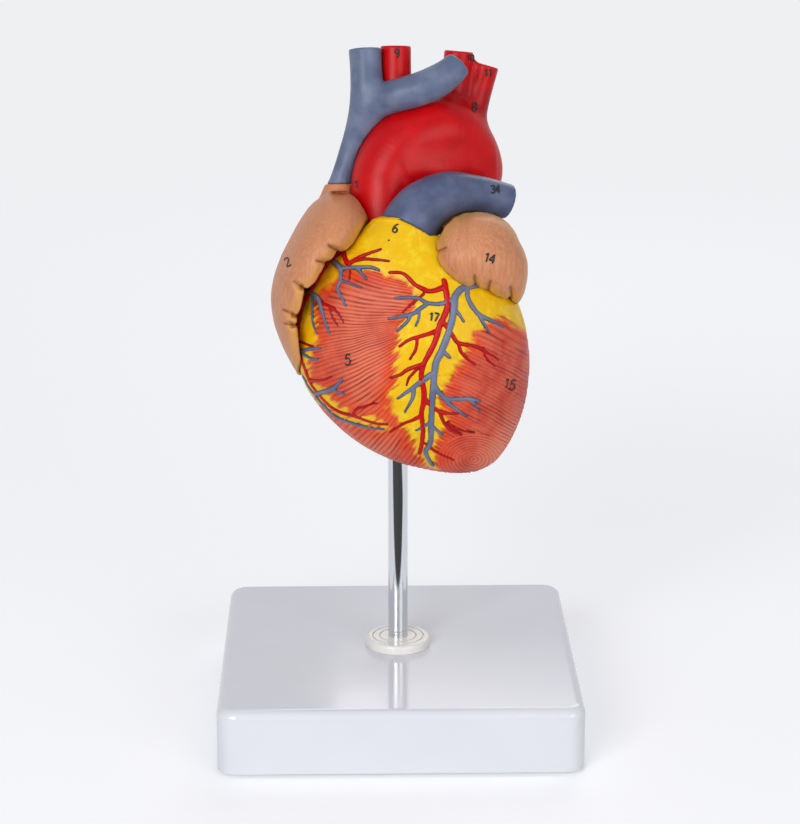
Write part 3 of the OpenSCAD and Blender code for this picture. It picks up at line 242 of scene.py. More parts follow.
# Edges of the yellow fat: round the outflow cone and between the ventricles, then along the right margin
FRONT_FAT = [
    [[-24, 6], [-17.1, 3.6], [-12.9, 2.9], [-7.1, 2.1], [-4.3, 0.7], [0, 0], [2.9, -1.4], [6.4, -4.3],
    [6.4, -5.7], [4.3, -12.9], [0, -16.4], [-0.7, -20], [-0.7, -37], [-2.9, -41.4], [-2.9, -48.6],
    [2.9, -52.1], [5, -57.9], [7, -62], [9, -66], [12, -66], [12.1, -59.3], [14.3, -54.3], [16.4, -48.6],
    [12.9, -41.4], [16.4, -37.1], [18.6, -32.1], [20.7, -29.3], [24.3, -24.3], [25.7, -19.3], [30.7, -15],
    [37.1, -13.6], [42.9, -17.9], [52, -20], [52, 30], [-30, 30], [-30, 12]], [[-24, 8], [-21.4, 1.4],
    [-26, -3], [-28.6, -5.7], [-29.3, -10], [-29.3, -21], [-31.4, -23], [-31.4, -36], [-28.5, -38.6],
    [-17.9, -48], [-4.3, -50.4], [-4.3, -51.8], [-17.9, -50.8], [-30.5, -41.5], [-42, -39], [-46, -10],
    [-35, 10]],
]
REAR_FAT = [
    [[-46, -16], [-20, -15], [0, -14], [20, -14], [36, -15], [50, -13], [50, 30], [-46, 30]], [[0, -11],
    [1, -24], [5, -38], [11, -52], [15, -61], [20, -60], [17, -50], [13.5, -37], [10.5, -24], [11, -11]],
]
# Edges that the muscle fibres run between, point for point, and the whorl's middle
RIGHT_FIBRES = [
    [(-15, 5.8), (-19.5, 1.5), (-25.4, -7), (-29, -14.7), (-32.5, -22.6), (-34, -29.1), (-32.6, -37.4),
    (-27.5, -44.8), (-20.5, -52.4), (-13.4, -58.2), (-6, -62.5), (1, -65.4), (6.6, -67)], [(8.6, -2.6),
    (7.6, -6), (5.9, -11), (3.9, -14.1), (2.4, -16), (1.6, -19), (1.2, -22.9), (0.8, -28.1), (0.6, -34.7),
    (1, -41.2), (3.6, -47.7), (8.4, -54), (11, -60)],
]
LEFT_FIBRES = [
    [(34, -7.6), (22.4, -18), (19, -25.2), (15, -31.7), (12.6, -38.9), (13, -46.7), (12.6, -54), (9.4, -60)],
    [(50, -21), (50, -33), (50, -42), (49.4, -50), (47, -57), (43, -63), (37, -68), (29, -71.5)],
]
REAR_FIBRES = [
    [(-42, -6), (-42, -16), (-41, -28), (-36, -44), (-26, -58), (-10, -68)], [(50, -28), (49, -40), (46, -52),
    (40, -62), (34, -68), (26, -72)],
]
WHORL = (25.8, -63.6)
# Points across one fibre ridge
RIDGE_SIDES = 4
# Reference numbers: text, x, y, height, turn in degrees
WALL_NUMBERS = [
    ("6", -1.2, 17.2, 3.2, -18), (".", -3.6, 14.4, 3.2, 0), ("17", 12, -13.8, 2.8, -8),
    ("5", -18, -28.5, 3.6, -6), ("15", 38.4, -37.4, 3.4, -14),
]
RIGHT_AURICLE_NUMBERS = [("2", -38.8, 5.6, 3, 22)]
LEFT_AURICLE_NUMBERS = [("14", 31.5, 6.6, 3, -16)]
TRUNK_NUMBERS = [("34", 33.5, 30.5, 2.6, 0)]
AORTA_NUMBERS = [
    ("9", -0.4, 77.6, 3, 0), ("8", 26.5, 59, 3, 0), ("10", 25, 76, 2, 0), ("11", 31.3, 70.8, 2.4, 0),
    ("1", -14.7, 32.4, 2.6, 0),
]
# A number's stroke, its lift off the skin and its width to the next digit, the last as a share of its height
INK = 0.3
INK_LIFT = 0.2
DIGIT_PITCH = 0.62
DIGITS = {
    ".": [(0.22, 0), (0.3, 0.04), (0.34, 0)],
    "0": [(0.28, 0), (0.06, 0.25), (0.06, 0.75), (0.28, 1), (0.5, 0.75), (0.5, 0.25), (0.28, 0)],
    "1": [(0.1, 0.76), (0.3, 0.98), (0.32, 0.9), (0.32, 0)],
    "2": [(0.05, 0.78), (0.2, 0.97), (0.42, 0.95), (0.5, 0.75), (0.4, 0.5), (0.05, 0.03), (0.55, 0.03)],
    "3": [(0.05, 0.85), (0.25, 1), (0.48, 0.88), (0.45, 0.65), (0.25, 0.53), (0.5, 0.38), (0.5, 0.15),
          (0.27, 0), (0.03, 0.12)],
    "4": [(0.42, 0), (0.42, 0.98), (0.36, 0.9), (0.03, 0.36), (0.08, 0.32), (0.58, 0.33)],
    "5": [(0.5, 1), (0.15, 1), (0.1, 0.95), (0.07, 0.58), (0.3, 0.63), (0.52, 0.45), (0.5, 0.15), (0.27, 0),
          (0.03, 0.1)],
    "6": [(0.45, 0.98), (0.2, 0.75), (0.06, 0.4), (0.1, 0.1), (0.3, 0), (0.5, 0.15), (0.5, 0.38), (0.3, 0.52),
          (0.1, 0.38)],
    "7": [(0.03, 1), (0.5, 1), (0.52, 0.92), (0.2, 0)],
    "8": [(0.28, 0.53), (0.08, 0.7), (0.1, 0.9), (0.28, 1), (0.47, 0.9), (0.48, 0.7), (0.28, 0.53),
          (0.05, 0.33), (0.07, 0.1), (0.28, 0), (0.5, 0.1), (0.52, 0.33), (0.28, 0.53)],
    "9": [(0.5, 0.62), (0.3, 0.48), (0.08, 0.6), (0.08, 0.85), (0.28, 1), (0.48, 0.88), (0.5, 0.62),
          (0.42, 0.25), (0.2, 0)],
}


# ---- Forms as distance fields on a grid ----
def curve(rows, per_row):
    """Smooth samples through the rows, per_row of them to each row."""
    rows = np.array(rows, float)
    last = len(rows) - 1
    s = np.linspace(0, last, last * per_row + 1)
    i = np.minimum(s.astype(int), last - 1)
    t = (s - i)[:, None]
    a, b = rows[np.maximum(i - 1, 0)], rows[i]
    c, d = rows[i + 1], rows[np.minimum(i + 2, last)]
    return 0.5 * (2 * b + (c - a) * t + (2 * a - 5 * b + 4 * c - d) * t**2
                  + (3 * b - a - 3 * c + d) * t**3)


class Grid:
    """A box of evenly spaced sample points."""

    def __init__(self, low, high, step=VOXEL):
        self.low = np.array(low, float)
        self.step = step
        self.shape = tuple(int(math.ceil((b - a) / step)) + 1 for a, b in zip(low, high))
        self.axes = [
            (self.low[k] + step * np.arange(self.shape[k])).astype(np.float32) for k in range(3)
        ]

    def part(self, low, high):
        """Slices and open axes of the stretch between two corners."""
        first = np.clip(np.floor((low - self.low) / self.step), 0, self.shape).astype(int)
        last = np.clip(np.ceil((high - self.low) / self.step) + 1, 0, self.shape).astype(int)
        cut = tuple(slice(a, b) for a, b in zip(first, last))
        x, y, z = (self.axes[k][cut[k]] for k in range(3))
        return cut, x[:, None, None], y[None, :, None], z[None, None, :]

    def all(self):
        return self.part(self.low, self.low + self.step * np.array(self.shape))[1:]

    def at(self, field, points):
        """The field's value at any points, by linear interpolation."""
        q = (points - self.low) / self.step
        q = np.clip(q, 0, np.array(self.shape) - 1.001)
        i = q.astype(int)
        f = q - i
        out = 0
        for corner in np.ndindex(2, 2, 2):
            weight = np.prod(np.where(corner, f, 1 - f), axis=1)
            out = out + weight * field[tuple((i + corner).T)]
        return out


def even(grid, field):
    """The field with a slope of one near its surface, so that it reads as a distance."""
    slope = np.sqrt(sum(g * g for g in np.gradient(field, grid.step)))
    return np.clip(field / np.maximum(slope, 0.25), -FAR_OFF, FAR_OFF).astype(np.float32)


def body(grid, rows, close=1.0):
    """A body through rows of upright ellipses, rounded off over close at both ends."""
    r = curve(rows, 12)
    x, y, z = grid.all()
    height = grid.axes[1]
    left, right, back, front = (np.interp(height, r[:, 0], r[:, k]) for k in range(1, 5))
    beyond = np.maximum(np.maximum(height - r[-1, 0], r[0, 0] - height), 0)
    shrink = np.sqrt(np.clip(1 - (beyond / close) ** 2, 0, 1))
    half_x = np.maximum((right - left) / 2 * shrink, 0.05).astype(np.float32)[None, :, None]
    half_z = np.maximum((front - back) / 2 * shrink, 0.05).astype(np.float32)[None, :, None]
    mid_x = ((left + right) / 2).astype(np.float32)[None, :, None]
    mid_z = ((back + front) / 2).astype(np.float32)[None, :, None]
    share = np.sqrt(((x - mid_x) / half_x) ** 2 + ((z - mid_z) / half_z) ** 2)
    field = (share - 1) * np.sqrt(half_x * half_z)
    field = np.maximum(field, (beyond - close).astype(np.float32)[None, :, None])
    return even(grid, np.minimum(field, 3 * FAR_OFF) + 0 * y)


def stamp(grid, field, a, b, ra, rb, margin=6.0):
    """Adds one round length between two points to the field."""
    reach = max(ra, rb) + margin
    cut, x, y, z = grid.part(np.minimum(a, b) - reach, np.maximum(a, b) + reach)
    if 0 in field[cut].shape:
        return
    d = b - a
    length = max(float(np.linalg.norm(d)), 1e-6)
    x, y, z = x - a[0], y - a[1], z - a[2]
    along = (x * d[0] + y * d[1] + z * d[2]) / length
    square = x * x + y * y + z * z
    held = np.clip(along, 0, length)
    value = np.sqrt(np.maximum(square - held * (2 * along - held), 0)) - (ra + (rb - ra) * held / length)
    np.minimum(field[cut], value, out=field[cut], casting="unsafe")


def square_end(grid, field, end, way, radius):
    """Cuts a vessel off square at its end; way points out of it."""
    reach = 1.9 * radius
    cut, x, y, z = grid.part(end - reach, end + reach)
    if 0 in field[cut].shape:
        return
    x, y, z = x - end[0], y - end[1], z - end[2]
    along = x * way[0] + y * way[1] + z * way[2]
    near = x * x + y * y + z * z < reach * reach
    field[cut] = np.where(near, blend_cut(field[cut], along, CUT_EDGE), field[cut])


def tube(grid, rows, grow=0.0, reach=0.0, per_row=6):
    """A round vessel through the rows with square ends, pushed outwards by reach."""
    p = curve(rows, per_row)
    ways = []
    for end, inner in ((0, 1), (-1, -2)):
        way = p[end, :3] - p[inner, :3]
        ways.append(way / np.linalg.norm(way))
        p[end, :3] += ways[-1] * reach
    field = np.full(grid.shape, FAR_OFF, np.float32)
    for a, b in zip(p, p[1:]):
        stamp(grid, field, a[:3], b[:3], a[3] + grow, b[3] + grow)
    for end, way in zip((0, -1), ways):
        square_end(grid, field, p[end, :3], way, p[end, 3] + grow)
    return field


def blend_union(a, b, k):
    h = np.clip(0.5 + 0.5 * (b - a) / k, 0, 1)
    return b + (a - b) * h - k * h * (1 - h)


def blend_cut(a, b, k):
    """What is inside a and inside b, with a rounded edge."""
    return -blend_union(-a, -b, k)


def clear_of(field, *forms, gap=SEAM):
    """The field cut back to a gap from other forms."""
    for form in forms:
        field = np.maximum(field, gap - form)
    return field


def front_of(grid):
    return PARTING_GAP / 2 - grid.all()[2]


def behind(grid):
    return grid.all()[2] + PARTING_GAP / 2


# ---- Fields to meshes ----
EDGES = [
    ((0, 0, 0), (1, 0, 0)), ((0, 1, 0), (1, 1, 0)), ((0, 0, 1), (1, 0, 1)), ((0, 1, 1), (1, 1, 1)),
    ((0, 0, 0), (0, 1, 0)), ((1, 0, 0), (1, 1, 0)), ((0, 0, 1), (0, 1, 1)), ((1, 0, 1), (1, 1, 1)),
    ((0, 0, 0), (0, 0, 1)), ((1, 0, 0), (1, 0, 1)), ((0, 1, 0), (0, 1, 1)), ((1, 1, 0), (1, 1, 1)),
]


def surface(grid, field, smooth=2):
    """Points and four-sided faces on the field's zero surface."""
    field = np.broadcast_to(field, grid.shape).astype(np.float32)
    field = np.pad(field, 1, constant_values=FAR_OFF)
    low = grid.low - grid.step
    inside = field < 0
    n = [s - 1 for s in field.shape]
    filled = sum(
        inside[a:a + n[0], b:b + n[1], c:c + n[2]].astype(np.uint8) for a, b, c in np.ndindex(2, 2, 2)
    )
    cells = np.argwhere((filled > 0) & (filled < 8))
    number = np.full(n, -1, np.int64)
    number[tuple(cells.T)] = np.arange(len(cells))
    total = np.zeros((len(cells), 3))
    count = np.zeros((len(cells), 1))
    for a, b in EDGES:
        fa = field[tuple((cells + a).T)]
        fb = field[tuple((cells + b).T)]
        crossed = (fa < 0) != (fb < 0)
        t = np.where(crossed, fa / np.where(crossed, fa - fb, 1), 0)[:, None]
        total += np.where(crossed[:, None], np.array(a) + t * (np.array(b) - np.array(a)), 0)
        count += crossed[:, None]
    points = low + grid.step * (cells + total / count)
    faces = []
    for axis in range(3):
        side, up = (axis + 1) % 3, (axis + 2) % 3
        here = [slice(None)] * 3
        there = [slice(None)] * 3
        here[axis], there[axis] = slice(0, -1), slice(1, None)
        change = inside[tuple(here)] != inside[tuple(there)]
        at = np.argwhere(change)
        at = at[(at[:, side] > 0) & (at[:, up] > 0) & (at[:, side] < n[side]) & (at[:, up] < n[up])]
        ring = []
        for back_side, back_up in ((1, 1), (0, 1), (0, 0), (1, 0)):
            cell = at.copy()
            cell[:, side] -= back_side
            cell[:, up] -= back_up
            ring.append(number[tuple(cell.T)])
        quad = np.stack(ring, 1)
        leaves = inside[tuple(at.T)]
        faces.append(np.where(leaves[:, None], quad, quad[:, ::-1]))
    faces = np.concatenate(faces)
    points = relax(points, faces, smooth)
    return points, faces


def neighbour_mean(points, faces):
    pairs = np.concatenate([faces[:, [k, (k + 1) % 4]] for k in range(4)])
    count = np.bincount(pairs[:, 0], minlength=len(points)).astype(float)
    mean = np.stack(
        [np.bincount(pairs[:, 0], points[pairs[:, 1], k], len(points)) for k in range(3)], 1
    )
    return mean / np.maximum(count, 1)[:, None]


def relax(points, faces, times):
    """Evens the mesh without shrinking it: each step inwards is followed by one back out."""
    for _ in range(times):
        points = points + 0.5 * (neighbour_mean(points, faces) - points)
        points = points - 0.52 * (neighbour_mean(points, faces) - points)
    return points


def normals(points, faces):
    a, b = points[faces[:, 2]] - points[faces[:, 0]], points[faces[:, 3]] - points[faces[:, 1]]
    face = np.cross(a, b)
    out = np.stack(
        [sum(np.bincount(faces[:, k], face[:, j], len(points)) for k in range(4)) for j in range(3)], 1
    )
    return out / np.maximum(np.linalg.norm(out, axis=1, keepdims=True), 1e-12)


def to_world(p):
    """Heart frame in mm to the stand's frame in metres."""
    s, c = math.sin(TILT), math.cos(TILT)
    return np.stack([p[:, 0], p[:, 1] * s - p[:, 2] * c, HEART_Z + p[:, 1] * c + p[:, 2] * s], 1) / 1000


def piece(name, points, faces, material, rides, replaces=(), slot=None, **masks):
    """A smooth mesh object in its place, with one number per point for each mask."""
    mesh = bpy.data.meshes.new(name)
    mesh.vertices.add(len(points))
    mesh.vertices.foreach_set("co", to_world(points).astype(np.float32).ravel())
    mesh.loops.add(faces.size)
    mesh.loops.foreach_set("vertex_index", faces.ravel().astype(np.int32))
    mesh.polygons.add(len(faces))
    mesh.polygons.foreach_set("loop_start", np.arange(0, faces.size, faces.shape[1], dtype=np.int32))
    mesh.update(calc_edges=True)
    mesh.validate()
    mesh.shade_smooth()
    for mask, values in masks.items():
        mesh.attributes.new(mask, "FLOAT", "POINT").data.foreach_set("value", values.astype(np.float32))
    obj = bpy.data.objects.new(name, mesh)
    bpy.context.scene.collection.objects.link(obj)
    mesh.materials.append(material)
    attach(obj, rides)
    if replaces:
        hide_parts(*replaces)
    return obj


# ---- Node materials ----
def linear(r, g, b):
    """A colour as it is seen, 0 to 255, as the shader's linear colour."""
    def one(c):
        c /= 255
        return c / 12.92 if c <= 0.04045 else ((c + 0.055) / 1.055) ** 2.4
    return (one(r), one(g), one(b), 1)


class Shader:
    """A material under construction; each call adds a node and returns its output."""

    def __init__(self, name, **settings):
        self.material = bpy.data.materials.new(name)
        self.material.use_nodes = True
        self.tree = self.material.node_tree
        self.principled = self.tree.nodes["Principled BSDF"]
        self.set(self.principled, settings)

    def set(self, node, values):
        for name, value in values.items():
            socket = node.inputs[name.replace("_", " ")] if isinstance(name, str) else node.inputs[name]
            if isinstance(value, bpy.types.NodeSocket):
                self.tree.links.new(value, socket)
            else:
                socket.default_value = value

    def add(self, kind, output=0, options=None, values=None):
        node = self.tree.nodes.new("ShaderNode" + kind)
        for name, value in (options or {}).items():
            setattr(node, name, value)
        self.set(node, values or {})
        return node.outputs[output]

    def mask(self, name):
        return self.add("Attribute", 2, {"attribute_name": name})

    def noise(self, scale, detail, rough=0.5, stretch=(1, 1, 1)):
        at = self.add("Mapping", 0, None, {0: self.add("TexCoord", 3), 3: stretch})
        return self.add("TexNoise", 0, None, {0: at, 2: scale, 3: detail, 4: rough})

    def ramp(self, value, low, high, to_low=0.0, to_high=1.0):
        options = {"interpolation_type": "SMOOTHSTEP"}
        return self.add("MapRange", 0, options, {0: value, 1: low, 2: high, 3: to_low, 4: to_high})

    def math(self, operation, a, b):
        return self.add("Math", 0, {"operation": operation}, {0: a, 1: b})

    def mix(self, share, a, b):
        return self.add("Mix", 2, {"data_type": "RGBA"}, {0: share, 6: a, 7: b})

    def between(self, value, low, high, first, last):
        """One colour where the value is low and another where it is high."""
        return self.mix(self.ramp(value, low, high), linear(*first), linear(*last))

    def over(self, base, mask, share, colour):
        """The base with a colour painted over it where a mask says so."""
        return self.mix(self.math("MULTIPLY", self.mask(mask), share), base, linear(*colour))

    def colour(self, value):
        self.set(self.principled, {"Base Color": value})

    def roughness(self, value):
        self.set(self.principled, {"Roughness": value})

    def bump(self, height, distance, strength=0.6):
        values = {"Strength": strength, "Distance": distance, "Height": height}
        self.set(self.principled, {"Normal": self.add("Bump", 0, None, values)})


# ---- The heart's forms ----
def ventricles(grid):
    conus = blend_cut(tube(grid, CONUS), past_lip(grid), 1.2)
    form = blend_union(body(grid, VENTRICLES, VENTRICLE_CLOSE), conus, 4)
    return clear_of(form, trunk_form(grid, 1.2))


def past_lip(grid):
    x, y, z = grid.all()
    (a, b, c), (p, q, r) = LIP
    return (x - a) * p + (y - b) * q + (z - c) * r


def trunk_form(grid, grow=0.0):
    return clear_of(tube(grid, TRUNK, grow), past_lip(grid))


def cavities(grid):
    right = blend_union(body(grid, RIGHT_CAVITY), tube(grid, CONUS_LUMEN, reach=1), 3)
    return right, body(grid, LEFT_CAVITY)


def aorta_form(grid, grow=0.0, reach=0.0):
    field = tube(grid, AORTA, grow, reach)
    for rows in (BRACHIOCEPHALIC, CAROTID, SUBCLAVIAN):
        field = blend_union(field, tube(grid, rows, grow, reach), 3)
    return field


def aorta_outside(grid):
    return blend_union(aorta_form(grid), tube(grid, ARCH_WEB), 5)


def neck_form(grid):
    return np.maximum(tube(grid, NECK), grid.all()[1] - NECK_END + SEAM)


def vein_form(grid, grow=0.0, reach=0.0):
    return blend_union(tube(grid, CAVA, grow, reach), tube(grid, LEFT_VEIN, grow, reach), 2.5)


def outline(grid, edge):
    """Signed distance to a closed outline in x and y, the same at every depth."""
    x, y = np.meshgrid(grid.axes[0], grid.axes[1], indexing="ij")
    flat = polygon_distance(np.stack([x.ravel(), y.ravel()], 1), edge)
    return flat.reshape(x.shape).astype(np.float32)[:, :, None]


def polygon_distance(points, edge):
    edge = np.array(edge, float)
    nearest = np.full(len(points), 1e9)
    inside = np.zeros(len(points), bool)
    for a, b in zip(edge, np.roll(edge, -1, axis=0)):
        d = b - a
        t = np.clip((points - a) @ d / (d @ d), 0, 1)
        nearest = np.minimum(nearest, np.linalg.norm(points - a - t[:, None] * d, axis=1))
        across = (a[1] > points[:, 1]) != (b[1] > points[:, 1])
        if a[1] != b[1]:
            inside ^= across & (points[:, 0] < a[0] + (points[:, 1] - a[1]) * d[0] / d[1])
    return np.where(inside, -nearest, nearest)


def wobble(points, size, seed=0, layers=2):
    """Smooth noise from -1 to 1; size is the width of its largest lumps."""
    total, weight_sum = 0, 0
    for layer in range(layers):
        q = np.asarray(points) * 2**layer / size + 1000.5 + seed * 17
        i = np.floor(q)
        f = q - i
        f = f * f * (3 - 2 * f)
        value = 0
        for corner in np.ndindex(*(2,) * q.shape[1]):
            h = np.sin((i + corner) @ np.array([12.9898, 78.233, 37.719])[:q.shape[1]] + layer) * 43758.5453
            value = value + np.prod(np.where(corner, f, 1 - f), axis=1) * (h - np.floor(h))
        total = total + value / 2**layer
        weight_sum += 1 / 2**layer
    return 2 * total / weight_sum - 1


def soft(value, low, high):
    t = np.clip((value - low) / (high - low), 0, 1)
    return t * t * (3 - 2 * t)


def seen(points):
    """Where the camera's rays through the points cross the plane that the tables are drawn on."""
    share = (EYE[2] - DRAWN_AT) / (EYE[2] - points[:, 2])
    return EYE[:2] + (points[:, :2] - EYE[:2]) * share[:, None]


def onto(grid, field, drawn, back=False):
    """Drawn points moved along the camera's rays, or straight from behind, onto a field's surface."""
    drawn = np.asarray(drawn, float)
    if back:
        p = np.column_stack([drawn, np.full(len(drawn), -36.0)])
        way = np.tile([0, 0, 1.0], (len(drawn), 1))
    else:
        p = np.column_stack([drawn, np.full(len(drawn), DRAWN_AT)])
        way = p - EYE
        way /= np.linalg.norm(way, axis=1, keepdims=True)
        p = p - way * 12
    for _ in range(40):
        p = p + way * np.clip(grid.at(field, p), -1.5, 1.5)[:, None] * 0.8
    return p


# ---- Paints ----
def muscle():
    """Muscle with dark grooves, yellow fat with painted shade in its creases and an orange fringe, chamber
    linings and cut faces.
    """
    s = Shader("muscle_paint", Roughness=0.42, Specular_IOR_Level=0.28)
    red = s.between(s.noise(160, 3, 0.6), 0.35, 0.65, (200, 70, 52), (220, 98, 72))
    red = s.mix(s.ramp(s.mask("light"), 0, 1), red, linear(236, 132, 98))
    red = s.over(red, "glow", 0.85, (236, 74, 20))
    red = s.over(red, "groove", 0.95, (128, 14, 12))
    fat = s.between(s.noise(230, 4, 0.6), 0.45, 0.7, (240, 190, 0), (246, 210, 36))
    # Painted shade: the fat turns a darker orange in its creases, where the groove mask is high
    fat = s.over(fat, "groove", 0.35, (214, 140, 10))
    skin = s.mix(s.mask("fat"), red, fat)
    lining = s.between(s.noise(220, 4, 0.6), 0.3, 0.7, (208, 112, 96), (226, 146, 128))
    skin = s.mix(s.mask("inner"), skin, lining)
    s.colour(s.mix(s.mask("cut"), skin, linear(214, 104, 82)))
    s.bump(s.noise(900, 3, 0.6), 0.00012)
    return s.material


def flesh():
    """Flesh colour with fine lengthwise streaks, yellowish, shaded rims and painted shade in creases and along
    the ventricles.
    """
    s = Shader("flesh_paint", Roughness=0.44, Specular_IOR_Level=0.28)
    streak = s.noise(1500, 2, 0.6, stretch=(1, 1, 0.09))
    base = s.between(streak, 0.3, 0.7, (200, 130, 90), (216, 148, 108))
    base = s.mix(s.ramp(s.noise(60, 2), 0.4, 0.75, 0, 0.5), base, linear(214, 142, 98))
    base = s.over(base, "rim", 0.75, (224, 164, 84))
    # Painted shade: dark brown in the creases and where the auricles meet the ventricle wall
    base = s.over(base, "groove", 0.85, (92, 44, 26))
    s.colour(s.mix(s.mask("inner"), base, linear(206, 128, 112)))
    s.bump(streak, 0.00022)
    return s.material


def vessel(name, low, high, dark):
    """A painted vessel or valve: gentle clouds, darker where the groove mask is high, which is painted shade
    where a raised vessel meets the skin and random darker clouds on the great vessels.
    """
    s = Shader(name, Roughness=0.36, Specular_IOR_Level=0.22)
    base = s.between(s.noise(130, 3), 0.35, 0.65, low, high)
    # The groove mask: painted shade at the foot of raised vessels, random darker clouds on the great vessels
    s.colour(s.over(base, "groove", 1.0, dark))
    s.bump(s.noise(700, 2, 0.6), 0.00008)
    return s.material


def plain(name, base, rough):
    s = Shader(name, Roughness=rough)
    s.colour(linear(*base))
    return s.material


def chrome():
    """Polished plating with the faintest streaks from handling."""
    s = Shader("chrome", Metallic=1.0)
    s.colour(linear(214, 216, 220))
    s.roughness(s.ramp(s.noise(60, 3, stretch=(1, 1, 0.2)), 0.3, 0.8, 0.07, 0.16))
    return s.material


def gloss(name, base, low, high, scale=40):
    """Moulded plastic: an even colour under a shine that varies a little."""
    s = Shader(name, IOR=1.5)
    darker = linear(*(0.965 * c for c in base))
    s.colour(s.mix(s.ramp(s.noise(scale, 2), 0.3, 0.7, 0, 0.25), linear(*base), darker))
    s.roughness(s.ramp(s.noise(scale / 2, 3), 0.3, 0.7, low, high))
    s.bump(s.noise(30, 2), 0.0003, 0.08)
    return s.material


def rubber():
    s = Shader("foot_rubber", Roughness=0.7)
    s.colour(s.between(s.noise(300, 3), 0.3, 0.7, (26, 26, 27), (40, 40, 41)))
    s.bump(s.noise(1500, 3), 0.0001)
    return s.material


muscle_paint = muscle()
flesh_paint = flesh()
artery_paint = vessel("artery_paint", (192, 2, 10), (206, 8, 14), (112, 3, 9))
vein_paint = vessel("vein_paint", (96, 108, 136), (116, 126, 152), (56, 60, 84))
trunk_paint = vessel("trunk_paint", (80, 90, 120), (96, 106, 136), (46, 50, 74))
valve_paint = vessel("valve_paint", (226, 204, 170), (238, 222, 194), (190, 140, 110))
number_paint = plain("number_paint", (16, 16, 18), 0.5)
plated = chrome()
CAD_PAINTS = {
    "base_shell": gloss("base_gloss", (226, 228, 235), 0.08, 0.15),
    "pole_collar": gloss("collar_gloss", (232, 230, 224), 0.2, 0.3, 90),
    "rubber_feet": rubber(),
    "support_pole": plated, "pole_washer": plated, "pole_screw": plated, "pole_socket": plated,
    "front_magnets": plated, "rear_magnets": plated, "locating_pins": plated,
    "tricuspid_valve": valve_paint, "mitral_valve": valve_paint, "aortic_valve": valve_paint,
    "pulmonary_valve": valve_paint, "chordae_tendineae": valve_paint,
}
for node, paint in CAD_PAINTS.items():
    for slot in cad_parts[node].material_slots:
        slot.material = paint


# ---- Ventricles ----
def paint_masks(points, rear=False):
    """Where the skin is fat, orange fringe or light muscle, at any points on it."""
    at = points[:, :2] if rear else seen(points)
    fat = np.min([polygon_distance(at, edge) for edge in (REAR_FAT if rear else FRONT_FAT)], axis=0)
    x, y = at.T
    left = x < 10
    along = np.where(left, 0.8 * x + 0.6 * y, 0.9 * x - 0.4 * y)
    across = np.where(left, 0.8 * y - 0.6 * x, 0.4 * x + 0.9 * y)
    stroke = wobble(np.column_stack([along / 5, across / 0.75]), 1, 13, 1)
    fray = 1.2 * wobble(at, 3.6, 15) + 1.6 * stroke * soft(-y, -6, 12)
    fat_mask = soft(-(fat + fray), -1.4, 1.1)
    reach = np.interp(at[:, 1], [-50, -30, -12, 4], [7, 5, 3, 5])
    glow = np.exp(-(np.maximum(fat + 1.5 * fray, 0) / reach) ** 2) * (1 - fat_mask)
    light = soft(wobble(at, 24, 61), -0.1, 0.7) * 0.8
    return {"fat": fat_mask, "glow": glow, "light": light}


def skin_relief(points, masks):
    """How far the skin is moved out: lumps and creases in the fat, and muscle that lies lower."""
    lump = wobble(points, 5, 31)
    crease = np.exp(-(wobble(points, 7, 41, 1) / 0.06) ** 2) * soft(wobble(points, 12, 43), 0, 0.4)
    x, y = points[:, 0], points[:, 1]
    slant = np.column_stack([0.84 * y + 0.54 * x, 0.84 * x - 0.54 * y])
    line = wobble(slant / (1.7, 14), 1, 5, 1)
    groove = np.exp(-(line / 0.16) ** 2) * soft(wobble(points, 15, 21), -0.5, 0.3)
    fat = masks["fat"]
    # On the fat the groove mask is painted shade in the creases; on the muscle it is the dark painted fibre
    # lines
    masks["groove"] = np.where(fat > 0.5, crease, groove)
    return fat * (0.2 * lump - 0.3 * crease) - (1 - fat) * (0.3 + 0.12 * groove)


def lined(grid, hollow, points, faces, room=None):
    """Moves the wall's points for relief and gives the masks; room is the rear wall's place for the septum."""
    rear = room is not None
    depth = grid.at(hollow, points)
    face = points[:, 2] > -PARTING_GAP if rear else points[:, 2] < PARTING_GAP
    cut = face & (depth > 0.5)
    inner = (depth < 0.8) & ~cut
    skin = soft(depth, 1.0, 1.8) * soft(np.abs(points[:, 2]), 0.2, 1.2)
    if rear:
        skin = skin * soft(grid.at(room, points), 0.5, 1.5)
    masks = paint_masks(points, rear)
    lift = skin_relief(points, masks) * skin
    masks = {name: values * skin for name, values in masks.items()}
    strands = np.column_stack([points[:, 0] / 2.2, points[:, 1] / 7, points[:, 2] / 2.2])
    strand = 1 - np.abs(wobble(strands, 1, 71, 2))
    lining = inner * soft(np.abs(points[:, 2]), 0.4, 2.5)
    lift = lift + 0.9 * lining * (strand - 0.75)
    moved = points + normals(points, faces) * lift[:, None]
    masks.update(inner=inner.astype(float), cut=cut.astype(float))
    return moved, masks


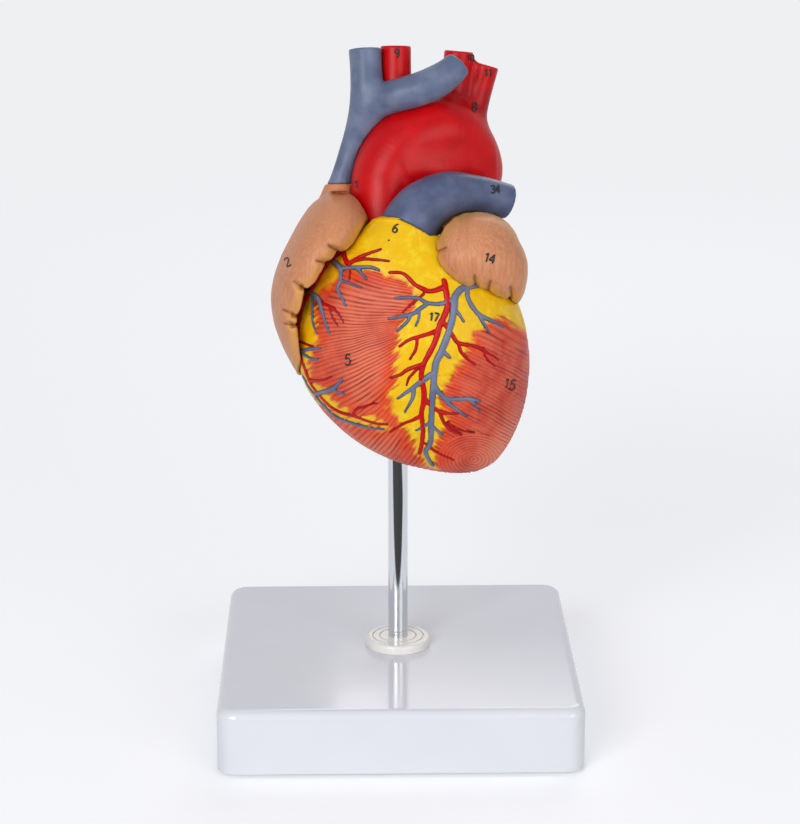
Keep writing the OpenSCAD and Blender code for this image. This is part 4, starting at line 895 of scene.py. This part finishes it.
def build_ventricles():
    grid = Grid((-41, -74, -1), (51, 25, 36))
    outer = ventricles(grid)
    hollow = np.minimum(*cavities(grid))
    wall = np.maximum(blend_cut(outer, -hollow, CUT_EDGE), front_of(grid))
    wall = clear_of(wall, aorta_form(grid), gap=PARTING_GAP)
    wall = clear_of(wall, trunk_form(grid))
    wall = clear_of(wall, seats(grid), gap=0)
    points, faces = surface(grid, wall)
    points, masks = lined(grid, hollow, points, faces)
    piece("front_ventricle_wall", points, faces, muscle_paint, "front_wall", ["front_ventricle_wall"],
          "muscle_paint", **masks)
    fibres("right_ventricle_fibres", grid, outer, *RIGHT_FIBRES, 58, -1.2)
    fibres("left_ventricle_fibres", grid, outer, *LEFT_FIBRES, 42, 0.8, hole=(*WHORL, 9.5))
    whorl(grid, outer, 10.5)
    relief(grid, outer, "front_coronary_arteries", FRONT_ARTERIES, artery_paint, "artery_paint")
    relief(grid, outer, "front_cardiac_veins", FRONT_VEINS, vein_paint, "vein_paint")
    numbers("front_wall_numbers", grid, outer, "front_wall", WALL_NUMBERS)
    grid = Grid((-41, -74, -36), (51, 25, 1))
    outer = ventricles(grid)
    hollow = np.minimum(*cavities(grid))
    aorta = aorta_form(grid)
    holes = np.minimum(valve_bores(grid), seats(grid))
    boss = socket_column(grid, SOCKET_BOSS)
    room = np.maximum(outline(grid, SEPTUM), body(grid, VENTRICLES, SEPTUM_CLOSE) + SEPTUM_INSET)
    room = clear_of(room, boss)
    wall = blend_cut(outer, -np.maximum(hollow, -boss), CUT_EDGE)
    wall = clear_of(np.maximum(wall, behind(grid)), aorta, room)
    wall = clear_of(wall, socket_column(grid, SEAM), holes, gap=0)
    points, faces = surface(grid, wall)
    points, masks = lined(grid, hollow, points, faces, room)
    piece("rear_ventricle_wall", points, faces, muscle_paint, "heart", ["rear_ventricle_wall"],
          "muscle_paint", **masks)
    fibres("rear_fibres", grid, outer, *REAR_FIBRES, 48, 1.5, rear=True)
    relief(grid, outer, "rear_coronary_arteries", REAR_ARTERIES, artery_paint, "artery_paint", rear=True)
    relief(grid, outer, "rear_cardiac_veins", REAR_VEINS, vein_paint, "vein_paint", rear=True)
    slab = clear_of(np.maximum(room, behind(grid)), hollow, holes, gap=0)
    points, faces = surface(grid, clear_of(slab, aorta))
    none = np.zeros(len(points))
    face = (points[:, 2] > -PARTING_GAP).astype(float)
    piece("ventricular_septum", points, faces, muscle_paint, "heart", ["ventricular_septum"],
          "muscle_paint", fat=none, glow=none, groove=none, light=none, inner=1 - face, cut=face)


def fibres(name, grid, outer, left, right, count, bow, rear=False, hole=None):
    """Muscle fibres as fine ridges side by side, laid between two edges that are drawn on the front."""
    t = np.linspace(0, 1, RIDGE_SIDES * count + 1)
    left, right = (np.array(curve(edge, 12)) for edge in (left, right))
    place = np.linspace(0, 1, len(left))
    first = np.column_stack([np.interp(t, place, left[:, k]) for k in range(2)])
    last = np.column_stack([np.interp(t, place, right[:, k]) for k in range(2)])
    length = np.linalg.norm(last - first, axis=1).max()
    s = np.linspace(0, 1, int(length / 0.9) + 2)[:, None, None]
    across = np.column_stack([(first - last)[:, 1], (last - first)[:, 0]])
    across /= np.maximum(np.linalg.norm(across, axis=1, keepdims=True), 1e-9)
    drawn = first + (last - first) * s + bow * across * 4 * s * (1 - s)
    rows, columns = drawn.shape[:2]
    drawn = drawn.reshape(-1, 2)
    drawn = drawn + 0.55 * np.column_stack([wobble(drawn, 9, 101), wobble(drawn, 9, 103)])
    points = onto(grid, outer, drawn, rear)
    masks = paint_masks(points, rear)
    phase = np.tile(np.arange(columns) % RIDGE_SIDES, rows)
    number = np.tile(np.arange(columns) // RIDGE_SIDES, rows)
    strength = random.uniform(0.45, 1, count + 1)[number]
    place = np.column_stack([np.repeat(np.arange(rows) / 7, columns), number + 0.5])
    strength = strength * (0.35 + 0.65 * soft(wobble(place, 1, 105, 1), -0.6, 0.5))
    keep = 1 - soft(masks["fat"], 0.15, 0.85)
    edge = np.minimum(np.arange(columns), columns - 1 - np.arange(columns)) / RIDGE_SIDES
    out = slope(grid, outer, points)
    keep = keep * np.tile(soft(edge, 0, 1.2), rows) * soft(np.abs(out[:, 2]), 0.06, 0.3)
    if hole is not None:
        far = np.linalg.norm(drawn - hole[:2], axis=1)
        keep = keep * soft(far, hole[2], hole[2] + 1)
    rise = np.array([-0.25, 0.1, 0.2, 0.1])[phase] * (0.5 + 0.5 * strength)
    masks["groove"] = np.array([1.0, 0.24, 0.0, 0.24])[phase] * strength
    masks["light"] = masks["light"] * (phase > 0)
    ridges(name, grid, outer, points, (0, 1, columns + 1, columns), rise, keep, masks, rear)


def whorl(grid, outer, reach):
    """The fibres' whorl over the left ventricle's tip: rings inside one another."""
    count, turns = int(reach / 1.05), 72
    radius = np.linspace(0.25, reach + 1, RIDGE_SIDES * (count + 1) + 1)
    angle = np.linspace(0, 2 * math.pi, turns + 1)
    drawn = np.stack([
        WHORL[0] + 1.25 * radius[None, :] * np.cos(angle)[:, None],
        WHORL[1] + 0.85 * radius[None, :] * np.sin(angle)[:, None],
    ], 2).reshape(-1, 2)
    rows, columns = turns + 1, len(radius)
    points = onto(grid, outer, drawn)
    masks = paint_masks(points)
    phase = np.tile(np.arange(columns) % RIDGE_SIDES, rows)
    keep = 1 - soft(np.tile(radius, rows), reach - 0.5, reach + 0.5)
    keep = keep * (1 - soft(masks["fat"], 0.15, 0.85))
    rise = np.array([-0.16, 0.1, 0.17, 0.1])[phase] * 0.8
    masks["groove"] = np.array([0.8, 0.14, 0.0, 0.14])[phase] * (0.6 + 0.4 * wobble(drawn, 4, 107))
    ridges("apex_whorl", grid, outer, points, (0, columns, columns + 1, 1), rise, keep, masks)


def ridges(name, grid, outer, points, corners, rise, keep, masks, rear=False):
    """A sheet of ridges over the skin as a piece; it dips under the skin where keep is 0 and is cut there."""
    met = (np.abs(grid.at(outer, points)) < 0.2) & (np.abs(points[:, 2]) > 0.8)
    lift = keep * (0.02 + rise) - (1 - keep) * 0.75
    points = points + slope(grid, outer, points) * lift[:, None]
    columns = max(corners) - 1
    first = np.arange(len(points) - columns).reshape(-1, columns)[:, :-1].reshape(-1, 1)
    faces = first + np.array(corners)
    faces = faces[(met & (keep > 0.01))[faces].all(axis=1)]
    used, faces = np.unique(faces, return_inverse=True)
    faces = faces.reshape(-1, 4)
    points = points[used]
    if (normals(points, faces)[:, 2].mean() > 0) == rear:
        faces = faces[:, ::-1]
    none = np.zeros(len(points))
    masks = {mask: values[used] for mask, values in masks.items()}
    piece(name, points, faces, muscle_paint, "heart" if rear else "front_wall", slot="muscle_paint",
          inner=none, cut=none, **masks)


def along_axis(grid, at, axis):
    """Distance from a line and position along it, for a line through a point."""
    x, y, z = grid.all()
    x, y, z = x - at[0], y - at[1], z - at[2]
    along = x * axis[0] + y * axis[1] + z * axis[2]
    return np.sqrt(np.maximum(x * x + y * y + z * z - along**2, 0)), along


def socket_column(grid, grow):
    """The upright column round the pole's sleeve; it stands plumb while the heart leans."""
    axis = np.array([0, math.cos(TILT), math.sin(TILT)])
    out, along = along_axis(grid, (0, 0, 0), axis)
    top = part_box("pole_socket")[1].z * 1000 - HEART_Z
    return np.maximum(out - SOCKET_RADIUS - grow, along - top - grow)


def valve_bores(grid):
    field = np.full(grid.shape, FAR_OFF, np.float32)
    for at, axis, radius, length in VALVE_BORES:
        out, along = along_axis(grid, at, axis)
        field = np.minimum(field, np.maximum(out - radius, np.abs(along) - length / 2))
    return field


def seats(grid):
    """Room for the magnets and the locating pins."""
    x, y, z = grid.all()
    field = np.full(grid.shape, FAR_OFF, np.float32)
    for places, (radius, depth) in ((MAGNETS, MAGNET_SEAT), (PINS, PIN_SEAT)):
        for a, b in places:
            out = np.sqrt((x - a) ** 2 + (y - b) ** 2) - radius
            field = np.minimum(field, np.maximum(out, np.abs(z) - depth))
    return field


def relief(grid, outer, name, branches, paint, slot, rear=False):
    """Raised branches that follow the skin and fade out at their tips."""
    low, high = (-40, -72, -34 if rear else 0.3), (50, 14, -0.3 if rear else 36)
    fine = Grid(low, high, FINE_VOXEL)
    field = np.full(fine.shape, FAR_OFF, np.float32)
    for rows in branches:
        line = curve(rows, 8)
        sway = np.column_stack([wobble(line[1:-1, :2], 3, seed) for seed in (2, 8)])
        line[1:-1, :2] += 0.18 * sway
        at = onto(grid, outer, line[:, :2], rear)
        radius = 1.2 * line[:, 2] * (1 + 0.1 * wobble(line[:, :2], 2.2, 4))
        at = at - slope(grid, outer, at) * (0.36 * radius)[:, None]
        for i in range(len(at) - 1):
            stamp(fine, field, at[i], at[i + 1], radius[i], radius[i + 1], margin=1.2)
    points, faces = surface(fine, np.maximum(field, -(resample(grid, outer, fine) + 0.5)), 1)
    # Painted shade: darker where the raised branch meets the skin
    groove = 1 - soft(grid.at(outer, points), 0.1, 0.55)
    piece(name, points, faces, paint, "heart" if rear else "front_wall", [name], slot, groove=groove)


def slope(grid, field, at):
    """Unit vectors straight out of a field's surface."""
    step = np.eye(3) * 0.6
    out = np.stack([grid.at(field, at + step[k]) - grid.at(field, at - step[k]) for k in range(3)], 1)
    return out / np.maximum(np.linalg.norm(out, axis=1, keepdims=True), 1e-9)


def resample(grid, field, fine):
    """A field read off at another grid's points, axis by axis."""
    for k in range(3):
        q = np.clip((fine.axes[k] - grid.low[k]) / grid.step, 0, grid.shape[k] - 1.001)
        i = q.astype(int)
        f = (q - i).astype(np.float32).reshape([-1 if a == k else 1 for a in range(3)])
        field = np.take(field, i, axis=k) * (1 - f) + np.take(field, i + 1, axis=k) * f
    return field


def numbers(name, grid, field, rides, marks):
    """Hand-painted reference numbers: thin strokes that lie on the surface."""
    strokes = []
    for text, x, y, height, turn in marks:
        pen = -DIGIT_PITCH * height * (len(text) - 1) / 2
        c, s = math.cos(math.radians(turn)), math.sin(math.radians(turn))
        for letter in text:
            line = np.array(DIGITS[letter], float) - (0.28, 0.5)
            line = curve(line, 5) * height + (pen, 0)
            line = line @ np.array([[c, s], [-s, c]]) + (x, y)
            strokes.append(onto(grid, field, line))
            pen += DIGIT_PITCH * height
    points, faces = [], []
    for line in strokes:
        out = slope(grid, field, line)
        way = np.gradient(line, axis=0)
        side = np.cross(way, out)
        side /= np.maximum(np.linalg.norm(side, axis=1, keepdims=True), 1e-9)
        first = sum(len(p) for p in points)
        ring = [line + INK * (math.cos(a) * side + 0.55 * math.sin(a) * out) + INK_LIFT * out
                for a in np.arange(6) * math.pi / 3]
        points.append(np.stack(ring, 1).reshape(-1, 3))
        for i in range(len(line) - 1):
            for k in range(6):
                a, b = first + 6 * i + k, first + 6 * i + (k + 1) % 6
                faces.append((a, b, b + 6, a + 6))
    piece(name, np.concatenate(points), np.array(faces), number_paint, rides)


# ---- Atria and auricles ----
def build_auricles():
    grid = Grid((-47, -36, -0.5), (-6, 32, 33))
    edge = outline(grid, RIGHT_AURICLE_EDGE)
    field = blend_cut(body(grid, RIGHT_ATRIUM) - 0.5, edge - 0.3, RIM_EDGE)
    field = clear_of(creased(grid, field, RIGHT_CREASES), body(grid, RIGHT_ATRIUM_CAVITY), gap=0)
    # The lobe stands further off the aorta near its top, where it would be a hair-thin edge
    clear = PARTING_GAP + 1.8 * soft(grid.all()[1], 21, 27)
    field = clear_of(field, aorta_outside(grid), gap=clear)
    auricle(grid, "right_auricle", field, RIGHT_AURICLE_EDGE, RIGHT_CREASES, RIGHT_AURICLE_NUMBERS)
    grid = Grid((8, -14, -0.5), (49, 27, 37))
    edge = outline(grid, LEFT_AURICLE_EDGE)
    field = blend_cut(body(grid, LEFT_AURICLE) - 0.7, edge, RIM_EDGE)
    field = clear_of(creased(grid, field, LEFT_CREASES), trunk_form(grid))
    field = clear_of(field, aorta_outside(grid), gap=PARTING_GAP)
    auricle(grid, "left_auricle", field, LEFT_AURICLE_EDGE, LEFT_CREASES, LEFT_AURICLE_NUMBERS)


def creased(grid, field, creases):
    """Cuts a tapering crease from beyond the rim into the surface along each drawn pair of points."""
    for edge, inner in creases:
        edge, inner = np.array(edge, float), np.array(inner, float)
        way = (inner - edge) / np.linalg.norm(inner - edge)
        tip, middle = onto(grid, field, [inner, edge + 1.6 * way])
        rim = np.array([*(edge - 2.2 * way), middle[2] - 5])
        groove = np.full(grid.shape, FAR_OFF, np.float32)
        stamp(grid, groove, tip, middle, 0.25, 0.85)
        stamp(grid, groove, middle, rim, 0.85, 1.5)
        field = blend_cut(field, -groove, 1.2)
    return field


def auricle(grid, name, field, edge, creases, marks):
    outer = ventricles(grid)
    field = np.maximum(clear_of(field, outer), front_of(grid))
    points, faces = surface(grid, field)
    at = seen(points)
    rim = soft(polygon_distance(at, edge), -4, -0.5)
    # Painted shade in the notch creases: nearness to each drawn crease
    drawn = np.min([np.abs(polygon_distance(at, ends)) for ends in creases], axis=0)
    drawn = np.exp(-(drawn / 0.42) ** 2)
    x, y = points[:, 0], points[:, 1]
    crease = np.exp(-(wobble(np.column_stack([x / 4, y / 13]), 1, 81, 1) / 0.09) ** 2)
    skin = soft(np.abs(points[:, 2]), 0.3, 1.5) * soft(grid.at(outer, points), 0.4, 1.4)
    ripple = wobble(np.column_stack([x / 2.4, y / 9]), 1, 85)
    lift = skin * (0.16 * ripple - 0.22 * crease * soft(wobble(points, 14, 83), -0.1, 0.4))
    moved = points + normals(points, faces) * lift[:, None]
    # Painted shade for the groove mask: along the ventricle wall, in the fine creases and in the notch creases
    groove = np.maximum(1 - soft(grid.at(outer, points), 0.2, 1.6), 0.12 * crease * skin)
    groove = np.maximum(groove, drawn * skin)
    piece(name, moved, faces, flesh_paint, "front_wall", [name], "flesh_paint", rim=rim, groove=groove,
          inner=np.zeros(len(points)))
    numbers(name + "_numbers", grid, field, "front_wall", marks)


def build_atria():
    grid = Grid((-47, -36, -37), (-4, 38, 1))
    back = behind(grid)
    shell = np.maximum(body(grid, RIGHT_ATRIUM), back)
    shell = blend_union(shell, np.maximum(neck_form(grid), back), 2)
    hollow = np.minimum(body(grid, RIGHT_ATRIUM_CAVITY), tube(grid, NECK_LUMEN))
    shell = clear_of(np.maximum(shell, back), hollow, gap=0)
    shell = clear_of(shell, tube(grid, INFERIOR_CAVA), body(grid, LEFT_ATRIUM))
    atrium(grid, "right_atrium", shell, hollow)
    grid = Grid((-16, -12, -46), (42, 32, -6))
    form = body(grid, LEFT_ATRIUM)
    hollow = form + ATRIUM_WALL
    lumens = [tube(grid, rows, -VESSEL_WALL, 1) for rows in PULMONARY_VEINS]
    atrium(grid, "left_atrium", clear_of(form, hollow, *lumens, gap=0), hollow)


def atrium(grid, name, shell, hollow):
    shell = clear_of(shell, ventricles(grid), aorta_outside(grid))
    points, faces = surface(grid, clear_of(shell, valve_bores(grid), gap=0))
    inner = (grid.at(hollow, points) < 0.6).astype(float)
    none = np.zeros(len(points))
    skin = (1 - inner) * soft(np.abs(points[:, 2]), 0.3, 1.5)
    lift = skin * 0.14 * wobble(points / (2.6, 8, 2.6), 1, 91)
    moved = points + normals(points, faces) * lift[:, None]
    piece(name, moved, faces, flesh_paint, "heart", [name], "flesh_paint", rim=none, groove=none, inner=inner)


# ---- Great vessels ----
def build_vessels():
    grid = Grid((-18, -12, -32), (40, 86, 12))
    outside = aorta_outside(grid)
    walls = clear_of(outside, aorta_form(grid, -VESSEL_WALL, 1), gap=0)
    tubes(grid, "aorta", walls, artery_paint, "artery_paint")
    numbers("aorta_numbers", grid, outside, "heart", AORTA_NUMBERS)
    grid = Grid((-28, 30, -16), (30, 86, 12))
    walls = clear_of(vein_form(grid), vein_form(grid, -VESSEL_WALL, 1), gap=0)
    walls = np.maximum(clear_of(walls, aorta_outside(grid)), NECK_END - grid.all()[1])
    tubes(grid, "superior_vena_cava", walls, vein_paint, "vein_paint")
    grid = Grid((-10, 4, -8), (48, 42, 28))
    outside = trunk_form(grid)
    walls = clear_of(outside, tube(grid, TRUNK, -VESSEL_WALL, 1), gap=0)
    walls = clear_of(walls, aorta_outside(grid), gap=PARTING_GAP)
    tubes(grid, "pulmonary_trunk", walls, trunk_paint, "vein_paint", "front_wall")
    numbers("trunk_numbers", grid, outside, "front_wall", TRUNK_NUMBERS)
    grid = Grid((-40, -44, -42), (-18, -4, -10))
    walls = clear_of(pipe(grid, INFERIOR_CAVA), body(grid, RIGHT_ATRIUM_CAVITY), ventricles(grid))
    tubes(grid, "inferior_vena_cava", walls, vein_paint, "vein_paint")
    grid = Grid((-26, 20, -34), (18, 42, -10))
    walls = clear_of(pipe(grid, RIGHT_BRANCH), aorta_outside(grid), neck_form(grid),
                     body(grid, LEFT_ATRIUM), body(grid, RIGHT_ATRIUM))
    tubes(grid, "right_pulmonary_artery", walls, vein_paint, "vein_paint")
    grid = Grid((-28, -10, -50), (50, 26, -18))
    walls = clear_of(pipe(grid, *PULMONARY_VEINS), aorta_outside(grid), ventricles(grid),
                     body(grid, LEFT_ATRIUM), body(grid, RIGHT_ATRIUM))
    tubes(grid, "pulmonary_veins", walls, artery_paint, "artery_paint")


def pipe(grid, *vessels):
    """The walls of round vessels that are open at their ends."""
    outside = np.minimum.reduce([tube(grid, rows) for rows in vessels])
    lumen = np.minimum.reduce([tube(grid, rows, -VESSEL_WALL, 1) for rows in vessels])
    return clear_of(outside, lumen, gap=0)


def tubes(grid, name, walls, paint, slot, rides="heart"):
    points, faces = surface(grid, walls)
    groove = 0.5 * soft(wobble(points, 14, 95), 0.2, 0.9)
    piece(name, points, faces, paint, rides, [name], slot, groove=groove)


# ---- Inside the chambers ----
def build_inside():
    grid = Grid((-34, -52, -28), (42, -4, 0.5))
    field = np.full(grid.shape, FAR_OFF, np.float32)
    for foot, tip, foot_r, tip_r in PAPILLARY:
        stamp(grid, field, np.array(foot, float), np.array(tip, float), foot_r, tip_r)
    field = np.maximum(field, np.minimum(*cavities(grid)) + SEAM)
    field = np.maximum(clear_of(field, socket_column(grid, SOCKET_BOSS)), behind(grid))
    points, faces = surface(grid, field)
    none, full = np.zeros(len(points)), np.ones(len(points))
    piece("papillary_muscles", points, faces, muscle_paint, "heart", ["papillary_muscles"], "muscle_paint",
          fat=none, glow=none, groove=none, light=none, inner=full, cut=none)


def floor_paint():
    """A pale floor that fades into the backdrop away from the stand."""
    s = Shader("floor_paint", Roughness=0.8, Specular_IOR_Level=0.0)
    s.colour(linear(228, 228, 228))
    far = s.add("VectorMath", 1, {"operation": "LENGTH"}, {0: s.add("NewGeometry")})
    shown = s.math("MAXIMUM", s.add("LightPath"), s.add("LightPath", 3))
    s.set(s.principled, {"Alpha": s.ramp(far, 0.35, 1.1, 1, 0), "Emission Color": (0.95, 0.96, 1, 1),
                         "Emission Strength": s.math("MULTIPLY", shown, 0.38)})
    return s.material


def stage_light(name, at, towards, size, power):
    data = bpy.data.lights.new(name, "AREA")
    data.energy, data.size = power, size
    lamp = bpy.data.objects.new(name, data)
    bpy.context.scene.collection.objects.link(lamp)
    lamp.location = at
    lamp.rotation_euler = (Vector(towards) - Vector(at)).to_track_quat("-Z", "Y").to_euler()


def stage_card(name, left, near, right, far, height, material):
    """A level card of the stage."""
    mesh = bpy.data.meshes.new(name)
    corners = [(left, near, height), (right, near, height), (right, far, height), (left, far, height)]
    mesh.from_pydata(corners, [], [(0, 1, 2, 3)])
    mesh.materials.append(material)
    card = bpy.data.objects.new(name, mesh)
    bpy.context.scene.collection.objects.link(card)
    return card


def build_stage():
    stage_card("floor", -3, -3, 3, 3, 0, floor_paint())
    # A black card on the floor that only reflections show gives the chrome its dark stripe
    card = stage_card("dark_card", -0.3, -0.8, 0.22, -0.13, 0.001, plain("card_black", (10, 10, 10), 0.9))
    card.visible_camera = card.visible_diffuse = card.visible_shadow = False
    middle = (0, 0, 0.15)
    stage_light("key_light", (-0.75, -1.5, 0.8), middle, 0.9, 17.5)
    stage_light("fill_light", (1.0, -1.4, 0.5), middle, 1.0, 8.6)
    stage_light("back_light", (0.3, 1.2, 1.0), middle, 0.8, 5)
    world = bpy.data.worlds.new("studio")
    world.use_nodes = True
    nodes, links = world.node_tree.nodes, world.node_tree.links
    lighting, backdrop = nodes["Background"], nodes.new("ShaderNodeBackground")
    lighting.inputs[0].default_value = (0.9, 0.93, 1, 1)
    lighting.inputs[1].default_value = 0.35
    backdrop.inputs[0].default_value = (0.86, 0.87, 0.89, 1)
    mix = nodes.new("ShaderNodeMixShader")
    path, shown = nodes.new("ShaderNodeLightPath"), nodes.new("ShaderNodeMath")
    shown.operation = "MAXIMUM"
    links.new(path.outputs["Is Camera Ray"], shown.inputs[0])
    links.new(path.outputs["Is Glossy Ray"], shown.inputs[1])
    links.new(shown.outputs[0], mix.inputs[0])
    links.new(lighting.outputs[0], mix.inputs[1])
    links.new(backdrop.outputs[0], mix.inputs[2])
    links.new(mix.outputs[0], nodes["World Output"].inputs[0])
    bpy.context.scene.world = world
    data = bpy.data.cameras.new("camera")
    data.lens, data.sensor_width = 112.5, 36
    camera = bpy.data.objects.new("camera", data)
    bpy.context.scene.collection.objects.link(camera)
    camera.location = (-0.0172, -0.8977, 0.3787)
    camera.rotation_euler = (math.radians(90 - 16.39), 0, -0.020)
    bpy.context.scene.camera = camera
    bpy.context.scene.view_settings.view_transform = "Standard"


build_ventricles()
build_auricles()
build_atria()
build_vessels()
build_inside()
build_stage()
